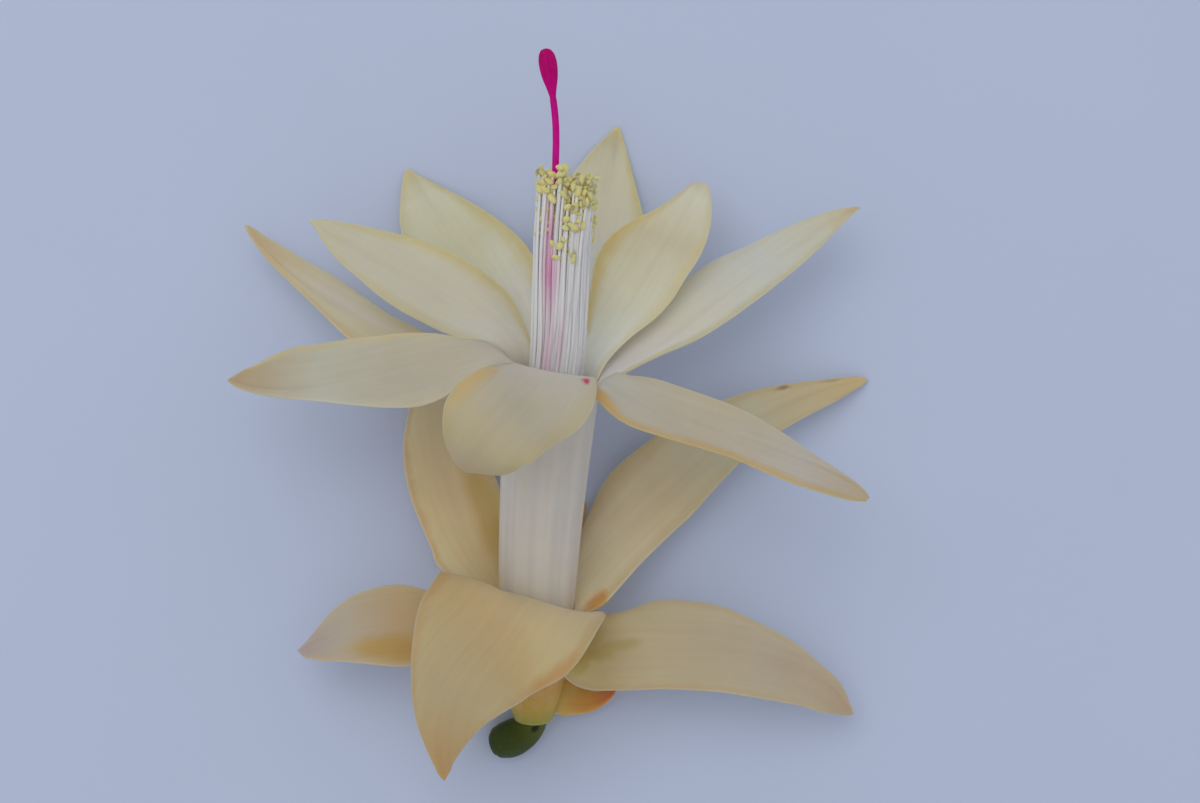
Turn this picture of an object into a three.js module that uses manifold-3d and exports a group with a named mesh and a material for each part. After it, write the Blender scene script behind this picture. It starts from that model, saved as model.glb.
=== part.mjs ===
// A picked Christmas cactus flower, lying on its side on a level surface.
//
// Millimetres, +Z up. The surface is z = 0, +Y is the way the flower opens and +X is its right side.
// A green ovary carries a white floral tube, which rises towards its mouth. Outer tepals stand round the
// foot of the tube and inner tepals round its mouth. The stamens and the style run up inside the tube.
import * as THREE from "three";
import { mergeVertices } from "three/addons/utils/BufferGeometryUtils.js";
import Module from "manifold-3d";

const wasm = await Module();
wasm.setup();

const { Vector3, CubicBezierCurve3, CatmullRomCurve3 } = THREE;
const { degToRad, lerp, smoothstep } = THREE.MathUtils;
const at = (x, y, z) => new Vector3(x, y, z);
const UP = at(0, 0, 1);

// Driving dimensions.
const SEAT_GAP = 0.3; // between a piece and the piece that carries it
const GROUND_SPAN = 200;
const GROUND_DEPTH = 20;
const CENTRING = at(-0.8, 0, 0); // brings the middle of the flower's box over the origin

const TUBE_FOOT = at(-1.4, -31.2, 2.9); // middle of the end that stands on the ovary
const TUBE_MOUTH = at(1.2, 5.7, 14.4);
const TUBE_AXIS = new CubicBezierCurve3(
  TUBE_FOOT,
  at(-1.2, -19.7, 6.5),
  at(-0.6, -5.7, 10.9),
  TUBE_MOUTH,
);
const TUBE_LENGTH = TUBE_AXIS.getLength();
const TUBE_SIDES = 20;
const TUBE_WALL = 0.9;
const TUBE_FLOOR = 3; // thickness of the closed end over the ovary
const STYLE_BORE_RADIUS = 0.65;
// Outer radius at stations along the tube, counted from its foot.
const TUBE_OUTLINE = [
  [0, 2],
  [2.5, 2.7],
  [6, 3.3],
  [11, 3.7],
  [18, 4],
  [25, 4.25],
  [32, 4.5],
  [TUBE_LENGTH, 4.8],
];

const OVARY_FOOT = at(-5.9, -34.2, 1.4); // middle of its cut end
const OVARY_BEND = 2.2; // distance below the tube over which it turns aside
const OVARY_RADIUS = 2.1;
const OVARY_SIDES = 12;
// Shares of its length, and how full it is there.
const OVARY_OUTLINE = [
  [0, 0.3],
  [0.08, 0.68],
  [0.22, 0.92],
  [0.42, 1],
  [0.64, 0.98],
  [0.85, 0.9],
  [1, 0.8],
];

const STYLE_RADIUS = 0.32;
const STYLE_SIDES = 12;
const STYLE_STEPS = 12;
const STIGMA_LENGTH = 4.9;
const STIGMA_RADIUS = 0.85;
const STIGMA_LOBES = 6;
const STIGMA_LOBE_DEPTH = 0.12; // share of the radius
// Shares of the stigma's length, and how full it is there.
const STIGMA_OUTLINE = [
  [0.2, 0.6],
  [0.4, 0.86],
  [0.6, 1],
  [0.78, 0.97],
  [0.92, 0.7],
  [1, 0.35],
];
// The style runs up the middle of the tube and on through these points to the stigma's tip.
const STYLE_BEYOND_MOUTH = [
  at(1, 16.3, 16.8),
  at(1.1, 23.7, 17.6),
  at(1.1, 29, 17.7),
  at(0.1, 36.1, 17),
];

const COLLAR_STATION = 9; // of the ring that the filaments stand on, inside the tube
const COLLAR_HEIGHT = 1.6;
const COLLAR_INNER_RADIUS = 0.8;
const FILAMENT_SIDE = 0.42;
const FILAMENT_STEPS = 8;
const FILAMENT_REACH = 15.2; // beyond the tube's mouth
const FILAMENT_REACH_SPREAD = 3; // either way
const FILAMENT_DRIFT = 1.1; // the bunch's end lies this far to the right of the style
const ANTHER_LENGTH = 1.5;
const ANTHER_RADIUS = 0.42;
const ANTHER_SIDES = 6;
const ANTHER_TILT_DEG = 50; // between the anther and its filament
const ANTHER_TURN_DEG = 60; // from the filament's place round the style to the way the anther tilts
// Shares of the anther's length, and how full it is there.
const ANTHER_OUTLINE = [
  [0, 0.5],
  [0.25, 1],
  [0.75, 1],
  [1, 0.5],
];
const STAMEN_SEED = 7;
const STAMEN_SCATTER = 0.3; // share of the step between filaments by which they stand out of order
// Rings of filaments round the style: how many, and their distance from it at the collar, at the mouth
// and at the anthers.
const FILAMENT_RINGS = [
  { count: 10, collar: 1.2, mouth: 1.5, top: 2.3 },
  { count: 16, collar: 1.95, mouth: 2.6, top: 3 },
];

const TEPAL_THICKNESS = 0.7;
const TEPAL_ROWS = 12;
const TEPAL_COLUMNS = 6;
const TEPAL_TIP_WIDTH = 0.7;
const TEPAL_GROWTH = 0.7; // under 1, a blade widens soon after its root
const FACE_TURN_SHARE = 0.45; // of the length, over which the blade turns from its root's way to its own
const WRAP_SHARE = 0.3; // of the length, over which it stops following the tube

// Tepals. station: of the root, along the tube. azimuth: where it stands round the tube, in degrees from
// the flower's right side, with 90 the top as it lies. leave: angle between the tube and the midrib at
// the root, and reach how strongly it keeps that way. middle and tip: points on the midrib. faces: the
// way the blade's inner face looks. widest: share of the length at which the blade has its full width.
// taper: 1 narrows straight from there to the tip, and more stays full for longer. cup: how far the edges
// stand above the midrib where it is widest, towards the inner face. opening: radius of the root's curve
// across, as a multiple of the tube's; without it the root follows the tube.
const MOUTH_SEAT = TUBE_LENGTH - 0.4;
const INNER_TEPALS = {
  front: {
    station: MOUTH_SEAT,
    azimuth: 95,
    leave: 75,
    reach: 0.5,
    middle: at(-3.4, 0.3, 27.5),
    tip: at(-8.8, -4.9, 21.5),
    faces: at(0.1, 0.3, 1),
    rootWidth: 6,
    width: 12,
    widest: 0.45,
    taper: 1.7,
    cup: -1,
  },
  left: {
    station: MOUTH_SEAT,
    azimuth: 157,
    leave: 66,
    reach: 0.45,
    middle: at(-15.8, 4.2, 17.8),
    tip: at(-31.6, 3.5, 13),
    faces: at(0.1, 0.6, 0.9),
    rootWidth: 3.6,
    width: 7.8,
    widest: 0.5,
    taper: 1.7,
    cup: 0.8,
  },
  low_left: {
    station: MOUTH_SEAT - 5,
    azimuth: 188,
    leave: 50,
    reach: 0.45,
    middle: at(-16.4, 9.8, 7),
    tip: at(-31, 19.3, 5),
    faces: at(0.45, 0.5, 0.7),
    rootWidth: 3,
    width: 5.8,
    widest: 0.45,
    taper: 1.7,
    cup: 0.8,
  },
  upper_left: {
    station: MOUTH_SEAT,
    azimuth: 208,
    leave: 50,
    reach: 0.45,
    middle: at(-12.7, 13.5, 10),
    tip: at(-24, 19.8, 8),
    faces: at(0.2, 0.1, 1),
    rootWidth: 3,
    width: 8,
    widest: 0.45,
    taper: 1.7,
    cup: 0.8,
  },
  back_left: {
    station: MOUTH_SEAT - 1.8,
    azimuth: 229,
    leave: 42,
    reach: 0.45,
    middle: at(-7.6, 15.2, 4.8),
    tip: at(-14.6, 25.6, 0.3),
    faces: at(0.1, 0.1, 1),
    rootWidth: 3,
    width: 9.4,
    widest: 0.5,
    taper: 1.7,
    cup: 0.7,
  },
  back: {
    station: MOUTH_SEAT - 3.4,
    azimuth: 281,
    leave: 38,
    reach: 0.45,
    middle: at(5.1, 17.2, 3),
    tip: at(7.4, 30, 0.3),
    faces: at(-0.05, 0.1, 1),
    rootWidth: 3,
    width: 9.4,
    widest: 0.5,
    taper: 1.7,
    cup: 0.7,
  },
  back_right: {
    station: MOUTH_SEAT,
    azimuth: 312,
    leave: 42,
    reach: 0.45,
    middle: at(10.9, 15.5, 9.6),
    tip: at(16.1, 23.7, 5),
    faces: at(-0.2, 0.1, 1),
    rootWidth: 3.4,
    width: 8.2,
    widest: 0.5,
    taper: 1.7,
    cup: 0.8,
  },
  right: {
    station: MOUTH_SEAT - 1.8,
    azimuth: 346,
    leave: 58,
    reach: 0.45,
    middle: at(19.1, 12.8, 8.5),
    tip: at(31.8, 21.1, 8),
    faces: at(-0.3, 0.4, 0.8),
    rootWidth: 3,
    width: 6.6,
    widest: 0.45,
    taper: 1.7,
    cup: 0.8,
  },
  lower_right: {
    station: MOUTH_SEAT,
    azimuth: 33,
    leave: 125,
    reach: 0.4,
    middle: at(18.9, -2.1, 18.5),
    tip: at(32, -8.1, 15),
    faces: at(0.2, 0.5, 0.8),
    rootWidth: 5,
    width: 5.8,
    widest: 0.35,
    taper: 1.7,
    cup: 0.8,
  },
};

const FOOT_SEAT = 12.5;
const OUTER_TEPALS = {
  front: {
    station: FOOT_SEAT,
    azimuth: 93,
    leave: 70,
    reach: 0.6,
    middle: at(-6.5, -23.9, 16.5),
    tip: at(-9.9, -35.9, 16.5),
    faces: at(0.1, 0.2, 1),
    rootWidth: 13,
    width: 17.4,
    widest: 0.34,
    taper: 1.15,
    cup: -1,
    opening: 2,
  },
  left: {
    station: FOOT_SEAT - 2,
    azimuth: 165,
    leave: 85,
    reach: 0.45,
    middle: at(-14.8, -21.3, 8),
    tip: at(-25.4, -24.1, 5.5),
    faces: at(0, 0.35, 1),
    rootWidth: 3.6,
    width: 7.8,
    widest: 0.45,
    taper: 1.7,
    cup: 0.6,
  },
  back_left: {
    station: FOOT_SEAT,
    azimuth: 202,
    leave: 38,
    reach: 0.45,
    middle: at(-9.7, -7.7, 3.6),
    tip: at(-12.3, 1.8, 2.5),
    faces: at(0.3, 0, 1),
    rootWidth: 5.4,
    width: 9.4,
    widest: 0.45,
    taper: 1.7,
    cup: 0.8,
  },
  under: {
    station: FOOT_SEAT - 1,
    azimuth: 260,
    leave: 20,
    reach: 0.45,
    middle: at(0.5, -14.4, 0.9),
    tip: at(3.8, -8.9, 0.6),
    faces: at(0, 0, 1),
    rootWidth: 2.4,
    width: 3.6,
    widest: 0.5,
    taper: 1.7,
    cup: 0.2,
  },
  back_right: {
    station: FOOT_SEAT - 0.4,
    azimuth: 322,
    leave: 45,
    reach: 0.6,
    middle: at(15.9, -4.9, 3.8),
    tip: at(33.3, 3.7, 0.25),
    faces: at(-0.05, 0.1, 1),
    rootWidth: 4.6,
    width: 9,
    widest: 0.42,
    taper: 1.7,
    cup: 0.6,
  },
  right: {
    station: FOOT_SEAT - 5,
    azimuth: 5,
    leave: 85,
    reach: 0.45,
    middle: at(17.8, -24, 7),
    tip: at(31.5, -30.8, 3.5),
    faces: at(0, 0.3, 1),
    rootWidth: 5.4,
    width: 8.8,
    widest: 0.36,
    taper: 1.7,
    cup: 0.6,
  },
  foot: {
    station: 1.5,
    azimuth: 345,
    leave: 80,
    reach: 0.45,
    middle: at(3.4, -29.8, 2.5),
    tip: at(7.1, -28.4, 2.8),
    faces: at(0, 0.2, 1),
    rootWidth: 2.4,
    width: 3.4,
    widest: 0.45,
    taper: 1.7,
    cup: 0.2,
  },
};

const FINISHES = {
  inner: { color: 0xe9e3d2, roughness: 0.5, metalness: 0 },
  outer: { color: 0xe6d3a0, roughness: 0.5, metalness: 0 },
  tube: { color: 0xece6df, roughness: 0.45, metalness: 0 },
  ovary: { color: 0x3f5a24, roughness: 0.5, metalness: 0 },
  stamens: { color: 0xefeae0, roughness: 0.5, metalness: 0 },
  style: { color: 0xc4127c, roughness: 0.5, metalness: 0 },
};

// A closed surface over rings with the same even number of points each. Each ring joins the next. The
// first and last are zipped shut, or with closed they join each other. The second half of each ring has
// its squares split the other way, so a blade's two faces are split alike.
function loft(rings, closed = false) {
  const n = rings[0].length;
  const index = [];
  const bands = closed ? rings.length : rings.length - 1;
  for (let i = 0; i < bands; i++) {
    const a = i * n;
    const b = ((i + 1) % rings.length) * n;
    for (let k = 0; k < n; k++) {
      const m = (k + 1) % n;
      if (k < n / 2) index.push(a + k, a + m, b + m, a + k, b + m, b + k);
      else index.push(a + k, a + m, b + k, a + m, b + m, b + k);
    }
  }
  if (!closed) {
    const last = (rings.length - 1) * n;
    for (let k = 0; k < n / 2 - 1; k++) {
      const [p, q, r, s] = [k, k + 1, n - 2 - k, n - 1 - k];
      index.push(p, r, q, p, s, r);
      index.push(last + p, last + q, last + r, last + p, last + r, last + s);
    }
  }
  const geometry = new THREE.BufferGeometry().setFromPoints(rings.flat());
  geometry.setIndex(index);
  return facingOut(geometry);
}

// The geometry with the zipper's collapsed triangles dropped and its faces turned outwards.
function facingOut(geometry) {
  const merged = mergeVertices(geometry, 1e-4);
  const point = (i) => new Vector3().fromBufferAttribute(merged.attributes.position, i);
  const faces = [];
  let volume = 0;
  for (let i = 0; i < merged.index.count; i += 3) {
    const [a, b, c] = [0, 1, 2].map((k) => merged.index.getX(i + k));
    if (a === b || b === c || c === a) continue;
    faces.push([a, b, c]);
    volume += point(a).dot(point(b).cross(point(c)));
  }
  merged.setIndex(faces.flatMap(([a, b, c]) => (volume > 0 ? [a, b, c] : [a, c, b])));
  return merged;
}

function solidOf(geometry) {
  const bare = geometry.clone();
  bare.deleteAttribute("normal");
  bare.deleteAttribute("uv");
  const merged = mergeVertices(bare, 1e-4);
  return new wasm.Manifold(
    new wasm.Mesh({
      numProp: 3,
      vertProperties: new Float32Array(merged.attributes.position.array),
      triVerts: new Uint32Array(merged.index.array),
    }),
  );
}

function geometryOf(solid) {
  const { vertProperties, triVerts } = solid.getMesh();
  const geometry = new THREE.BufferGeometry();
  geometry.setAttribute("position", new THREE.BufferAttribute(vertProperties, 3));
  geometry.setIndex(new THREE.BufferAttribute(triVerts, 1));
  return geometry;
}

// What lies above the surface: a piece pressed a little into it gets a small flat there.
const GROUND = solidOf(
  new THREE.BoxGeometry(GROUND_SPAN, GROUND_SPAN, GROUND_DEPTH).translate(0, 0, -GROUND_DEPTH / 2),
);
const standing = (geometry) => geometryOf(solidOf(geometry).subtract(GROUND));

// The frame of a curve at a share of its length: a point, the way on, and two directions square to it.
function frameAt(curve, share) {
  const centre = curve.getPointAt(share);
  const forward = curve.getTangentAt(share);
  const right = forward.clone().cross(UP).normalize();
  const top = right.clone().cross(forward);
  return { centre, forward, right, top };
}

// The direction square to a frame's curve at an angle round it, in degrees.
function outwards(frame, angle) {
  return new Vector3()
    .addScaledVector(frame.right, Math.cos(degToRad(angle)))
    .addScaledVector(frame.top, Math.sin(degToRad(angle)));
}

// A ring of points round a frame's centre. radius is a number or a function of the angle in degrees.
function ringAt(frame, sides, radius) {
  return Array.from({ length: sides }, (_, k) => {
    const angle = (360 * k) / sides;
    const r = typeof radius === "function" ? radius(angle) : radius;
    return frame.centre.clone().addScaledVector(outwards(frame, angle), r);
  });
}

// The tube's outer radius at a station, straight between the outline's points.
function tubeRadius(station) {
  const next = Math.max(1, TUBE_OUTLINE.findIndex(([s]) => s >= station - 1e-6));
  const [s0, r0] = TUBE_OUTLINE[next - 1];
  const [s1, r1] = TUBE_OUTLINE[next];
  return lerp(r0, r1, (station - s0) / (s1 - s0));
}

// A hollow tube that widens to its mouth, with a floor that has a bore for the style.
function floralTube() {
  const inside = TUBE_OUTLINE.filter(([s]) => s > TUBE_FLOOR).reverse();
  const sections = [
    ...TUBE_OUTLINE,
    ...inside.map(([s, r]) => [s, r - TUBE_WALL]),
    [TUBE_FLOOR, tubeRadius(TUBE_FLOOR) - TUBE_WALL],
    [TUBE_FLOOR, STYLE_BORE_RADIUS],
    [0, STYLE_BORE_RADIUS],
  ];
  const rings = sections.map(([station, radius]) =>
    ringAt(frameAt(TUBE_AXIS, station / TUBE_LENGTH), TUBE_SIDES, radius),
  );
  return loft(rings, true);
}

// A blunt egg between its cut end and the tube's foot.
function ovary() {
  const { forward } = frameAt(TUBE_AXIS, 0);
  const top = TUBE_FOOT.clone().addScaledVector(forward, -SEAT_GAP);
  const bend = top.clone().addScaledVector(forward, -OVARY_BEND);
  const axis = new THREE.QuadraticBezierCurve3(OVARY_FOOT, bend, top);
  const rings = OVARY_OUTLINE.map(([share, full]) =>
    ringAt(frameAt(axis, share), OVARY_SIDES, OVARY_RADIUS * full),
  );
  return loft(rings);
}

// Half the blade's width at a share of its length: it widens from the root and narrows to a point.
function halfWidth(tepal, share) {
  const full = tepal.width / 2;
  if (share < tepal.widest) {
    const grown = Math.sin((Math.PI / 2) * (share / tepal.widest)) ** TEPAL_GROWTH;
    return lerp(tepal.rootWidth / 2, full, grown);
  }
  const past = (share - tepal.widest) / (1 - tepal.widest);
  return lerp(TEPAL_TIP_WIDTH / 2, full, 1 - past ** tepal.taper);
}

// A thin blade along a midrib that leaves the tube's wall, passes its middle point and ends at its tip.
function tepalBlade(tepal) {
  const seat = frameAt(TUBE_AXIS, tepal.station / TUBE_LENGTH);
  const outward = outwards(seat, tepal.azimuth);
  const seatRadius = tubeRadius(tepal.station) + SEAT_GAP + TEPAL_THICKNESS / 2;
  const root = seat.centre.clone().addScaledVector(outward, seatRadius);
  const turn = degToRad(tepal.leave);
  const leaving = seat.forward
    .clone()
    .multiplyScalar(Math.cos(turn))
    .addScaledVector(outward, Math.sin(turn));
  const first = root.clone().addScaledVector(leaving, root.distanceTo(tepal.middle) * tepal.reach);
  const second = tepal.middle
    .clone()
    .multiplyScalar(8)
    .sub(root)
    .sub(tepal.tip)
    .addScaledVector(first, -3)
    .divideScalar(3);
  const midrib = new CubicBezierCurve3(root, first, second, tepal.tip);
  const rootFace = seat.forward
    .clone()
    .multiplyScalar(Math.sin(turn))
    .addScaledVector(outward, -Math.cos(turn));
  const rootRadius = seatRadius * (tepal.opening ?? 1);
  const rings = [];
  for (let row = 0; row <= TEPAL_ROWS; row++) {
    const share = row / TEPAL_ROWS;
    const centre = midrib.getPoint(share);
    const along = midrib.getTangent(share);
    const turned = smoothstep(share, 0, FACE_TURN_SHARE);
    const face = rootFace.clone().lerp(tepal.faces.clone().normalize(), turned);
    face.addScaledVector(along, -face.dot(along)).normalize();
    const across = along.clone().cross(face);
    const half = halfWidth(tepal, share);
    // The root wraps the tube, and the blade beyond it is flat or cupped.
    const free = smoothstep(share, 0, WRAP_SHARE);
    const point = (t, side) => {
      const bend = (half * t) / rootRadius;
      const aside = lerp(rootRadius * Math.sin(bend), half * t, free);
      const wrapped = lerp(rootRadius * (1 - Math.cos(bend)), 0, free);
      const lift = (free * tepal.cup * t * t * half * 2) / tepal.width;
      return centre
        .clone()
        .addScaledVector(across, aside)
        .addScaledVector(outward, -wrapped)
        .addScaledVector(face, lift + (side * TEPAL_THICKNESS) / 2);
    };
    const steps = Array.from({ length: TEPAL_COLUMNS + 1 }, (_, k) => (2 * k) / TEPAL_COLUMNS - 1);
    rings.push([...steps.map((t) => point(t, 1)), ...steps.reverse().map((t) => point(t, -1))]);
  }
  return loft(rings);
}

// The style's centre line, from the tube's foot to the stigma's tip.
const STYLE_AXIS = new CatmullRomCurve3([
  ...[0, 0.2, 0.4, 0.6, 0.8, 1].map((share) => TUBE_AXIS.getPointAt(share)),
  ...STYLE_BEYOND_MOUTH,
]);
const STYLE_LENGTH = STYLE_AXIS.getLength();

// A slim rod that swells into a closed club of lobes.
function style() {
  const rodEnd = STYLE_LENGTH - STIGMA_LENGTH;
  const rings = [];
  for (let i = 0; i <= STYLE_STEPS; i++) {
    const share = (rodEnd * i) / STYLE_STEPS / STYLE_LENGTH;
    rings.push(ringAt(frameAt(STYLE_AXIS, share), STYLE_SIDES, STYLE_RADIUS));
  }
  for (const [share, full] of STIGMA_OUTLINE) {
    const lobed = (angle) => {
      const lobe = 1 + STIGMA_LOBE_DEPTH * Math.cos(degToRad(angle * STIGMA_LOBES));
      return STIGMA_RADIUS * full * lobe;
    };
    const frame = frameAt(STYLE_AXIS, (rodEnd + STIGMA_LENGTH * share) / STYLE_LENGTH);
    rings.push(ringAt(frame, STYLE_SIDES, lobed));
  }
  return loft(rings);
}

// Repeatable random numbers from 0 to 1.
function seededRandom(seed) {
  let state = seed;
  return () => {
    state = (state * 1664525 + 1013904223) % 4294967296;
    return state / 4294967296;
  };
}

// One filament: a square thread that runs beside the style, with an anther at its end.
function filament(ring, angle, reach) {
  const start = COLLAR_STATION + COLLAR_HEIGHT / 2;
  const last = TUBE_LENGTH + reach;
  const place = (station) => {
    const inTube = (station - start) / (TUBE_LENGTH - start);
    const beyond = Math.max(0, (station - TUBE_LENGTH) / reach);
    const inside = lerp(ring.collar, ring.mouth, inTube);
    const away = beyond > 0 ? lerp(ring.mouth, ring.top, beyond) : inside;
    const frame = frameAt(STYLE_AXIS, station / STYLE_LENGTH);
    frame.centre.addScaledVector(outwards(frame, angle), away);
    frame.centre.addScaledVector(frame.right, FILAMENT_DRIFT * beyond);
    return frame;
  };
  const threads = [];
  for (let i = 0; i <= FILAMENT_STEPS; i++) {
    const frame = place(lerp(start, last, i / FILAMENT_STEPS));
    threads.push(ringAt(frame, 4, FILAMENT_SIDE * Math.SQRT1_2));
  }
  const head = place(last);
  const tilt = degToRad(ANTHER_TILT_DEG);
  const along = head.forward
    .clone()
    .multiplyScalar(Math.cos(tilt))
    .addScaledVector(outwards(head, angle + ANTHER_TURN_DEG), Math.sin(tilt))
    .multiplyScalar(ANTHER_LENGTH / 2);
  const ends = [head.centre.clone().sub(along), head.centre.clone().add(along)];
  const antherAxis = new THREE.LineCurve3(...ends);
  const anther = ANTHER_OUTLINE.map(([share, full]) =>
    ringAt(frameAt(antherAxis, share), ANTHER_SIDES, ANTHER_RADIUS * full),
  );
  return solidOf(loft(threads)).add(solidOf(loft(anther)));
}

// The collar in the tube's throat, with its filaments.
function stamens() {
  const random = seededRandom(STAMEN_SEED);
  const bottom = frameAt(TUBE_AXIS, COLLAR_STATION / TUBE_LENGTH);
  const top = frameAt(TUBE_AXIS, (COLLAR_STATION + COLLAR_HEIGHT) / TUBE_LENGTH);
  const outer = tubeRadius(COLLAR_STATION) - TUBE_WALL - SEAT_GAP;
  const collar = loft(
    [
      ringAt(bottom, TUBE_SIDES, outer),
      ringAt(top, TUBE_SIDES, outer),
      ringAt(top, TUBE_SIDES, COLLAR_INNER_RADIUS),
      ringAt(bottom, TUBE_SIDES, COLLAR_INNER_RADIUS),
    ],
    true,
  );
  let bunch = solidOf(collar);
  for (const ring of FILAMENT_RINGS)
    for (let k = 0; k < ring.count; k++) {
      const angle = (360 * (k + STAMEN_SCATTER * (random() - 0.5))) / ring.count;
      const reach = FILAMENT_REACH + FILAMENT_REACH_SPREAD * (2 * random() - 1);
      bunch = bunch.add(filament(ring, angle, reach));
    }
  return geometryOf(bunch);
}

const flower = new THREE.Group();
flower.name = "christmas_cactus_flower";

function addPiece(name, geometry, finish) {
  const mesh = new THREE.Mesh(geometry, new THREE.MeshStandardMaterial(FINISHES[finish]));
  mesh.name = name;
  flower.add(mesh);
}

addPiece("ovary", standing(ovary()), "ovary");
addPiece("floral_tube", floralTube(), "tube");
addPiece("stamens", stamens(), "stamens");
addPiece("style", style(), "style");
for (const [name, tepal] of Object.entries(OUTER_TEPALS))
  addPiece("outer_tepal_" + name, standing(tepalBlade(tepal)), "outer");
for (const [name, tepal] of Object.entries(INNER_TEPALS))
  addPiece("inner_tepal_" + name, standing(tepalBlade(tepal)), "inner");

flower.position.copy(CENTRING);

export default flower;
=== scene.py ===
"""The looks of a picked Christmas cactus flower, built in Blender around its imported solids.

The frame is the part's own: z = 0 is the surface that the flower lies on, +Y is the way it opens
and +X is its right side. Sizes are in millimetres, and turn to metres where a mesh is made. Every
piece is a profile carried along a path, worked out as whole arrays. The flower is one rigid
thing, so all ride on one body.
"""

import logging
from dataclasses import dataclass
from enum import Enum
from functools import cached_property

import bpy
import numpy as np
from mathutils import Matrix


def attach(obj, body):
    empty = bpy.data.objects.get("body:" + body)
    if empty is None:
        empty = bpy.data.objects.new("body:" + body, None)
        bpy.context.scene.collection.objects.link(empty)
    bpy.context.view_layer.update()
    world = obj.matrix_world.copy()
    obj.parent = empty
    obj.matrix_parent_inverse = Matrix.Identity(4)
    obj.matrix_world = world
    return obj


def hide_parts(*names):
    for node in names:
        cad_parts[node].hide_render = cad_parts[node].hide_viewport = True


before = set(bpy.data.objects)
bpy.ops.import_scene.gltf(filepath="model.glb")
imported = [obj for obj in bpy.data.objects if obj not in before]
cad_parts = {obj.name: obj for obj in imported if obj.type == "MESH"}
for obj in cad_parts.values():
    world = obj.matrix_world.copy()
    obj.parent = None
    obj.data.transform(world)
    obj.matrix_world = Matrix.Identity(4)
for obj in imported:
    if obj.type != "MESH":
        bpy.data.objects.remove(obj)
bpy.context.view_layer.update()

Array = np.ndarray
Point = tuple[float, float, float]
Table = tuple[tuple[float, float], ...]  # rows of a place and the value there
Fade = tuple[tuple[float, str], ...]  # rows of a share of the length and the hex colour there
Tree = bpy.types.NodeTree
Socket = bpy.types.NodeSocket

LOG = logging.getLogger("christmas_cactus_flower")
MILLIMETRE = 0.001
BODY = "root"
CENTRING = np.array([-0.8, 0.0, 0.0])  # from the source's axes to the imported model's
UP = np.array([0.0, 0.0, 1.0])

# How finely the pieces are drawn: points on their axes, rows along them and sides of a ring. A
# stamen has few rows and sides, because it is repeated hundreds of times.
TUBE_AXIS, EGG_AXIS, STYLE_STEPS = 401, 81, 40
OUTSIDE_ROWS, LIP_ROWS, BORE_ROWS, TUBE_SIDES = 110, 12, 70, 108
LEAD_ROWS, BLADE_ROWS, BLADE_SIDES = 16, 84, 44
EGG_ROWS, EGG_SIDES = 61, 72
ROD_ROWS, CLUB_ROWS, STYLE_SIDES = 150, 70, 56
COLLAR_ROWS, COLLAR_SIDES = 24, 48
HIDDEN_ROWS, SHOWN_ROWS, THREAD_SIDES = 4, 11, 5
ANTHER_ROWS, ANTHER_SIDES = 6, 7

# Names of the values that points carry to the materials.
# The place is across from -1 to 1, or a thread's blush, then the share of the length, then 1 on the
# inner face and 0 outside.
PLACE = "place"
GRAIN = "grain"  # millimetres across, along and through, which follow the tissue


def unit(vectors: Array) -> Array:
    """Divides vectors, along the last axis, by their lengths."""
    return vectors / np.linalg.norm(vectors, axis=-1, keepdims=True)


def ease(values: Array, low: float, high: float) -> Array:
    """Rises from 0 at low to 1 at high: 3 x squared less 2 x cubed, x the share of the way."""
    share = np.clip((values - low) / (high - low), 0.0, 1.0)
    return share * share * (3.0 - 2.0 * share)


def mix(first: Array, second: Array, share: Array) -> Array:
    """Goes straight from first to second: first plus their difference times the share."""
    return first + (second - first) * share


def circle(sides: int) -> Array:
    """Gives the angles of a ring's points, evenly spaced."""
    return np.linspace(0.0, 2 * np.pi, sides, endpoint=False)


def cubic(t: Array, start: Array, leaving: Array, end: Array, arriving: Array) -> Array:
    """Joins start to end, with a slope at each, by the cubic Hermite polynomials of the share t."""
    return (
        (2 * t**3 - 3 * t**2 + 1) * start
        + (t**3 - 2 * t**2 + t) * leaving
        + (3 * t**2 - 2 * t**3) * end
        + (t**3 - t**2) * arriving
    )


def through(table: Table, places: Array) -> Array:
    """Reads a table as one smooth line: a cubic a span, with the mean slope round each row.

    Args:
        table: rows in rising order.
        places: where to read it.

    Returns:
        The values there.
    """
    knots, values = np.array(table, dtype=float).T
    slopes = np.gradient(values, knots)
    row = np.clip(np.searchsorted(knots, places, side="right") - 1, 0, len(knots) - 2)
    span = knots[row + 1] - knots[row]
    t = np.clip((places - knots[row]) / span, 0.0, 1.0)
    return cubic(t, values[row], span * slopes[row], values[row + 1], span * slopes[row + 1])


def bezier(handles: Array, share: Array) -> tuple[Array, Array]:
    """Follows a cubic Bezier curve: its handles and their steps, weighed by Bernstein polynomials.

    Args:
        handles: four points, the second and third pulling the curve.
        share: of the curve's parameter.

    Returns:
        A point and the way on, of length 1, for each share.
    """
    t = share[:, None]
    first, second, third, last = handles
    start = (1 - t) ** 3 * first + 3 * (1 - t) ** 2 * t * second
    steps = np.diff(handles, axis=0)
    slope = (1 - t) ** 2 * steps[0] + 2 * (1 - t) * t * steps[1] + t**2 * steps[2]
    return start + 3 * (1 - t) * t**2 * third + t**3 * last, unit(slope)


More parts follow.
